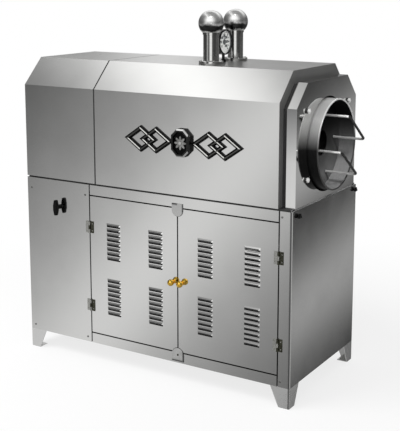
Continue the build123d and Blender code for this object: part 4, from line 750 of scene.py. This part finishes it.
def hinge_material():
    """Plated leaves on the frame: dark and olive at the mouth end, as painted shade over some tarnish, still
    bright at the drive end.
    """
    material, tree, sockets = start_material("hinge_pair")
    # Painted shade: the leaves at the mouth end are dark
    mouth_end = math_node(tree, "GREATER_THAN", along_axis(tree, "X"), 0)
    stains = noise(tree, scale=160, detail=4)
    bright = tones(tree, stains, *PALE_HINGE_TONES)
    tarnish_and_shade = tones(tree, stains, *DARK_HINGE_TONES)
    feed(tree, sockets["Base Color"], mixed(tree, mouth_end, bright, tarnish_and_shade))
    sockets["Metallic"].default_value = 1.0
    set_rough(tree, sockets, stains, (0.2, 0.4))
    return material


def glass_material():
    """Thin clear lens."""
    material, tree, sockets = start_material("lens_glass")
    sockets["Alpha"].default_value = LENS_ALPHA
    feed(tree, sockets["Base Color"], tones(tree, noise(tree, scale=40), *GLASS_TONES))
    set_rough(tree, sockets, noise(tree, scale=90), (0.01, 0.05))
    return material


def give(material, *nodes):
    """Sets the finish of CAD nodes."""
    for node in nodes:
        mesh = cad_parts[node].data
        mesh.materials.clear()
        mesh.materials.append(material)


def finish_sheets():
    """Cabinet, doors, hood, end plate and feet."""
    give(
        sheet_steel("polished_sheet", *SHEET_TONES, rough=(0.08, 0.12)),
        "drive_front_panel", "mouth_stile", "front_top_rail", "front_bottom_rail", "drive_side_panel",
        "mouth_side_panel", "back_panel", "hood_main", "hood_drive_cover",
    )
    give(
        sheet_steel("door_sheet", *SHEET_TONES, rough=(0.08, 0.12), lip=LOUVRE_LIP),
        "left_door_panel", "right_door_panel",
    )
    give(sheet_steel("mirror_plate", *SHEET_TONES, rough=(0.05, 0.08), lean=PLATE_LEAN), "end_plate")
    give(sheet_steel("foot_sheet", *FOOT_TONES, rough=(0.22, 0.30)), "feet")
    give(
        plain_material(
            "dull_sheet", (0.25, 0.25, 0.25), (0.30, 0.30, 0.29), rough=(0.36, 0.46), scale=12, metallic=0.6,
        ),
        "hood_end_wall",
    )
    give(
        plain_material(
            "mill_steel", (0.30, 0.30, 0.30), (0.42, 0.42, 0.41), rough=(0.35, 0.5), scale=18, metallic=1.0,
            relief=0.0001,
        ),
        "floor_pan", "compartment_wall", "motor_shelf", "inner_jacket", "roller_brackets",
    )
    give(frame_material(), "frame_posts", "frame_rails", "drive_bulkhead")
    give(
        plain_material(
            "heat_seal", (0.015, 0.015, 0.015), (0.05, 0.05, 0.05), rough=(0.7, 0.9), scale=400,
            relief=0.0004,
        ),
        "end_seal",
    )


def finish_fittings():
    """Nuts, flues, ornament, hinges, catches and knobs."""
    # Painted shade: the nuts' flats next to the plate are near black, their domes bright
    give(
        stepped_plate(
            "nut_chrome", plate_face + NUT_FLATS, NEAR_BLACK_TONES, BRIGHT_TONES, metallic=0.3,
            rough=(0.05, 0.10),
        ),
        "end_plate_nuts",
    )
    give(ball_material(), "flue_balls")
    give(flue_material(), "flues")
    give(ornament_material("lattice_plate", "lattices", *LATTICE_TONES), "lattices")
    give(
        ornament_material("medallion_plate", "medallion", *MEDALLION_TONES, MEDALLION_HEART, MEDALLION_BEVEL_HIGHLIGHT),
        "medallion",
    )
    give(catch_material(), "door_catches")
    give(hinge_material(), "hinge_frame_leaves")
    # Painted shade: the left door's leaves and the pins are dark
    give(
        plain_material("dark_hinge", *DARK_HINGE_TONES, rough=(0.2, 0.4), scale=160, metallic=1.0),
        "left_door_leaves", "hinge_pins",
    )
    give(
        plain_material("pale_hinge", *PALE_HINGE_TONES, rough=(0.2, 0.4), scale=160, metallic=1.0),
        "right_door_leaves",
    )
    give(
        plain_material(
            "brass", (0.88, 0.52, 0.06), (0.98, 0.66, 0.12), rough=(0.14, 0.24), scale=90, metallic=1.0,
            relief=0.00002,
        ),
        "left_knob", "right_knob", "gas_cock", "gas_lever",
    )
    give(
        plain_material(
            "black_plastic", (0.003, 0.003, 0.003), (0.007, 0.007, 0.007), rough=(0.3, 0.5), scale=300,
            relief=0.00003, shine=0.12,
        ),
        "switch_body", "switch_handle", "front_side_knob", "rear_side_knob", "cable_gland",
    )


def finish_works():
    """Drum, lid, drive and gas supply."""
    crossbar_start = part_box("lid_handles")[1].x - CROSSBAR_DEPTH
    give(drum_material(), "drum_shell")
    give(lid_material(), "lid_disc")
    # Painted shade: the handles' slanted crossbars are near black, the arms bright
    give(
        stepped_plate(
            "handle_rod", crossbar_start, BRIGHT_TONES, CROSSBAR_TONES, metallic=0.6, rough=(0.12, 0.20),
        ),
        "lid_handles",
    )
    give(
        plain_material(
            "sooty_steel", (0.010, 0.010, 0.010), (0.030, 0.030, 0.029), rough=(0.6, 0.8), scale=30,
            relief=0.0001, shine=0.2,
        ),
        "drum_flights",
    )
    give(
        plain_material(
            "drum_steel", (0.20, 0.20, 0.19), (0.34, 0.33, 0.32), rough=(0.4, 0.55), scale=40, metallic=1.0,
            relief=0.00005,
        ),
        "drum_shaft",
    )
    give(
        plain_material(
            "cast_iron", (0.07, 0.07, 0.07), (0.17, 0.16, 0.16), rough=(0.55, 0.75), scale=220, metallic=0.8,
            relief=0.0004,
        ),
        "burner", "drum_pulley", "motor_pulley", "rear_bearing", "front_roller", "rear_roller",
    )
    give(
        plain_material(
            "motor_paint", (0.10, 0.20, 0.30), (0.16, 0.28, 0.39), rough=(0.3, 0.45), scale=160,
            relief=0.0003,
        ),
        "gear_motor",
    )
    give(
        plain_material(
            "zinc_pipe", (0.40, 0.40, 0.38), (0.52, 0.52, 0.53), rough=(0.3, 0.45), scale=70, metallic=1.0,
            relief=0.0001,
        ),
        "gas_pipe",
    )
    give(
        plain_material(
            "belt_rubber", (0.02, 0.02, 0.02), (0.05, 0.05, 0.05), rough=(0.6, 0.8), scale=150, relief=0.0002,
        ),
        "drive_belt",
    )


def finish_thermometer():
    """Case, dial, needle and lens."""
    give(chrome_material("black_chrome", *NEAR_BLACK_TONES, rough=(0.08, 0.14)), "thermometer_case")
    give(
        plain_material("dial_white", (0.80, 0.80, 0.77), (0.88, 0.88, 0.86), rough=(0.45, 0.55), scale=60),
        "thermometer_dial",
    )
    give(
        plain_material("needle_black", (0.02, 0.02, 0.02), (0.04, 0.04, 0.04), rough=(0.4, 0.5), scale=100),
        "thermometer_needle",
    )
    give(glass_material(), "thermometer_lens")


def finished(name):
    """A finish that already exists."""
    return bpy.data.materials[name]


def out_of(place, out, turn=0.0):
    """A frame at a place whose Z axis points out of the surface."""
    tilt = Vector(out).to_track_quat("Z", "Y").to_matrix().to_4x4()
    return Matrix.Translation(place) @ tilt @ Matrix.Rotation(turn, 4, "Z")


def lathe(shape, profile, sides, seat):
    """Adds a turned body from its foot to its crown, about the seat's Z axis."""
    rings = []
    for radius, height in profile:
        count = sides if radius else 1
        turns = [2 * math.pi * k / sides for k in range(count)]
        ring = [Vector((radius * math.cos(t), radius * math.sin(t), height)) for t in turns]
        rings.append([shape.verts.new(seat @ point) for point in ring])
    for low, high in zip(rings, rings[1:]):
        for k in range(sides):
            corners = (low[k], low[(k + 1) % sides], high[(k + 1) % len(high)], high[k % len(high)])
            shape.faces.new(dict.fromkeys(corners))
    shape.faces.new(rings[0])


def bead(shape, seat, ring_radius, tube_radius, sides, tube_sides, ripple=0.0, ripples=0):
    """Adds a round bead about the seat's Z axis, rippled like a weld if asked."""
    loops = []
    for k in range(sides):
        turn = 2 * math.pi * k / sides
        radius = tube_radius * (1 + ripple * math.cos(ripples * turn))
        loop = []
        for j in range(tube_sides):
            lean = 2 * math.pi * j / tube_sides
            reach = ring_radius + radius * math.cos(lean)
            point = Vector((reach * math.cos(turn), reach * math.sin(turn), radius * math.sin(lean)))
            loop.append(shape.verts.new(seat @ point))
        loops.append(loop)
    for here, after in zip(loops, loops[1:] + loops[:1]):
        for j in range(tube_sides):
            ahead = (j + 1) % tube_sides
            shape.faces.new((here[j], after[j], after[ahead], here[ahead]))


def make_mesh(shape, name):
    """Closes a bmesh into a mesh with its normals outward."""
    bmesh.ops.recalc_face_normals(shape, faces=shape.faces)
    mesh = bpy.data.meshes.new(name)
    shape.to_mesh(mesh)
    shape.free()
    return mesh


def settle(name, mesh, material, body):
    """Makes a mesh a smooth-shaded piece that rides on a body."""
    mesh.shade_smooth()
    mesh.set_sharp_from_angle(angle=SHARP_ANGLE)
    mesh.materials.clear()
    mesh.materials.append(material)
    piece = bpy.data.objects.new(name, mesh)
    bpy.context.scene.collection.objects.link(piece)
    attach(piece, body)


def carve(mesh, cutter_mesh):
    """A copy of a mesh with another mesh cut out of it."""
    solid = bpy.data.objects.new("solid", mesh)
    cutter = bpy.data.objects.new("cutter", cutter_mesh)
    for part in (solid, cutter):
        bpy.context.scene.collection.objects.link(part)
    modifier = solid.modifiers.new("carve", "BOOLEAN")
    modifier.operation = "DIFFERENCE"
    modifier.object = cutter
    graph = bpy.context.evaluated_depsgraph_get()
    carved = bpy.data.meshes.new_from_object(solid.evaluated_get(graph))
    for part in (solid, cutter):
        bpy.data.objects.remove(part)
    return carved


def make_screws(name, body, material, radius, places):
    """Domed screw heads with a slot across each, at places on the surface with a direction out of it."""
    heads = bmesh.new()
    slots = bmesh.new()
    profile = [(radius * reach, radius * height) for reach, height in SCREW_PROFILE]
    size = Matrix.Diagonal((SLOT_LENGTH * radius, SLOT_WIDTH * radius, SLOT_DEPTH * radius, 1))
    lift = Matrix.Translation((0, 0, radius * (SLOT_FLOOR + SLOT_DEPTH / 2)))
    for number, (place, out) in enumerate(places):
        seat = out_of(place, out, SLOT_TURN * number)
        lathe(heads, profile, SCREW_SIDES, seat)
        bmesh.ops.create_cube(slots, size=1, matrix=seat @ lift @ size)
    carved = carve(make_mesh(heads, name), make_mesh(slots, name + "_slots"))
    settle(name, carved, material, body)


def make_panel_screws():
    """Screws that hold the cabinet's sheets, and one in the lower catch plate."""
    places = [((x, cabinet_front, z), (0, -1, 0)) for x in FRONT_SCREW_X for z in FRONT_SCREW_Z]
    places += [((STILE_SCREW_X, cabinet_front, z), (0, -1, 0)) for z in STILE_SCREW_Z]
    places += [((x, cabinet_back, z), (0, 1, 0)) for x in BACK_SCREW_X for z in EDGE_SCREW_Z]
    places += [((drive_end, y, z), (-1, 0, 0)) for y in SIDE_SCREW_Y for z in EDGE_SCREW_Z]
    dark_chrome = chrome_material("dark_chrome", *DARK_CHROME_TONES, rough=(0.05, 0.10))
    make_screws("panel_screws", "cabinet", dark_chrome, PANEL_SCREW, places)
    catch_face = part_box("door_catches")[0].y
    catch = [((middle("door_catches").x, catch_face, CATCH_SCREW_HEIGHT), (0, -1, 0))]
    make_screws("catch_screw", "cabinet", finished("dark_hinge"), PANEL_SCREW, catch)


def make_hinge_screws():
    """Two small screws in each hinge leaf."""
    face = cabinet_front - HINGE_LEAF
    low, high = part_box("hinge_pins")
    heights = [low.z + rise for rise in HINGE_SCREW_RISES]
    heights += [high.z - rise for rise in reversed(HINGE_SCREW_RISES)]
    frame_low, frame_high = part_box("hinge_frame_leaves")
    columns = {
        "left_door": [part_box("left_door_leaves")[1].x - HINGE_SCREW_INSET],
        "right_door": [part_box("right_door_leaves")[0].x + HINGE_SCREW_INSET],
        "cabinet": [frame_low.x + HINGE_SCREW_INSET, frame_high.x - HINGE_SCREW_INSET],
    }
    for body, places_x in columns.items():
        places = [((x, face, z), (0, -1, 0)) for x in places_x for z in heights]
        make_screws(body + "_hinge_screws", body, finished("pale_hinge"), SMALL_SCREW, places)


def make_flange_screws():
    """Screws round the foot of each flue."""
    low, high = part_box("flues")
    places = []
    for y in (low.y + FLANGE_RADIUS, high.y - FLANGE_RADIUS):
        centre = Vector((middle("flues").x, y, flange_top))
        for k in range(FLANGE_SCREWS):
            turn = FLANGE_SCREW_START + 2 * math.pi * k / FLANGE_SCREWS
            reach = Vector((math.cos(turn), math.sin(turn), 0)) * FLANGE_SCREW_RING
            places.append((centre + reach, (0, 0, 1)))
    chrome = chrome_material("chrome", *CHROME_TONES, rough=(0.04, 0.09))
    make_screws("flange_screws", "cabinet", chrome, PANEL_SCREW, places)


def make_rim_bead():
    """The rolled rim of the drum's neck."""
    shape = bmesh.new()
    seat = out_of((drum_end, 0, drum_axis_height), (1, 0, 0))
    bead(shape, seat, NECK_MIDDLE_RADIUS, RIM_BEAD, RIM_SIDES, RIM_TUBE_SIDES)
    settle("neck_rim", make_mesh(shape, "neck_rim"), rim_material(), "drum")


def make_handle_welds():
    """Weld beads where the lid's handles stand on the lid."""
    shape = bmesh.new()
    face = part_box("lid_disc")[1].x
    ring_radius = HANDLE_ROD + WELD_BEAD / 2
    for way in (1, -1):
        for y, z in HANDLE_FEET:
            seat = out_of((face, way * y, drum_axis_height + way * z), (1, 0, 0))
            bead(shape, seat, ring_radius, WELD_BEAD, WELD_SIDES, WELD_TUBE_SIDES, WELD_RIPPLE, WELD_RIPPLES)
    settle("handle_welds", make_mesh(shape, "handle_welds"), finished("lid_steel"), "mouth_lid")


def add_figure(shape, text, seat):
    """Adds a plain number, standing on the seat's XY plane."""
    curve = bpy.data.curves.new("figure", "FONT")
    curve.body = text
    curve.size = FIGURE_SIZE
    curve.align_x = "CENTER"
    curve.align_y = "CENTER"
    curve.resolution_u = FIGURE_STEPS
    curve.extrude = MARK_RISE
    curve.offset = FIGURE_WEIGHT
    carrier = bpy.data.objects.new("figure", curve)
    bpy.context.scene.collection.objects.link(carrier)
    graph = bpy.context.evaluated_depsgraph_get()
    mesh = bpy.data.meshes.new_from_object(carrier.evaluated_get(graph))
    mesh.transform(seat)
    shape.from_mesh(mesh)
    bpy.data.objects.remove(carrier)


def make_dial_marks():
    """Ticks and plain numbers round the thermometer's dial, upright as seen from the mouth end."""
    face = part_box("thermometer_dial")[1].x
    centre = Matrix.Translation((face, 0, middle("thermometer_dial").z))
    upright = centre @ Matrix(((0, 0, 1, 0), (1, 0, 0, 0), (0, 1, 0, 0), (0, 0, 0, 1)))
    shape = bmesh.new()
    for k in range(DIAL_STEPS + 1):
        turn = Matrix.Rotation(math.radians(DIAL_SWEEP * (1 - 2 * k / DIAL_STEPS)), 4, "Z")
        length = TICK_LENGTH if k % 2 else LONG_TICK_LENGTH
        reach = Matrix.Translation((0, TICK_RING - length / 2, 0))
        size = Matrix.Diagonal((TICK_WIDTH, length, 2 * MARK_RISE, 1))
        bmesh.ops.create_cube(shape, size=1, matrix=upright @ turn @ reach @ size)
    for k, figure in enumerate(DIAL_FIGURES):
        turn = math.radians(DIAL_SWEEP * (2 * k / (len(DIAL_FIGURES) - 1) - 1))
        place = Vector((FIGURE_RING * math.sin(turn), FIGURE_RING * math.cos(turn), 0))
        add_figure(shape, str(figure), upright @ Matrix.Translation(place))
    settle("dial_marks", make_mesh(shape, "dial_marks"), finished("needle_black"), "cabinet")


def make_needle_hub():
    """Round cap over the needle's arbor."""
    shape = bmesh.new()
    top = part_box("thermometer_needle")[1].x
    seat = out_of((top - HUB_SINK, 0, middle("thermometer_dial").z), (1, 0, 0))
    lathe(shape, HUB_PROFILE, HUB_SIDES, seat)
    mesh = make_mesh(shape, "needle_hub")
    settle("needle_hub", mesh, finished("needle_black"), "thermometer_needle")


make_world()
make_camera()
make_lamps()
make_floor()
finish_sheets()
finish_fittings()
finish_works()
finish_thermometer()
make_panel_screws()
make_hinge_screws()
make_flange_screws()
make_rim_bead()
make_handle_welds()
make_dial_marks()
make_needle_hub()

bpy.context.scene.view_settings.view_transform = "Standard"
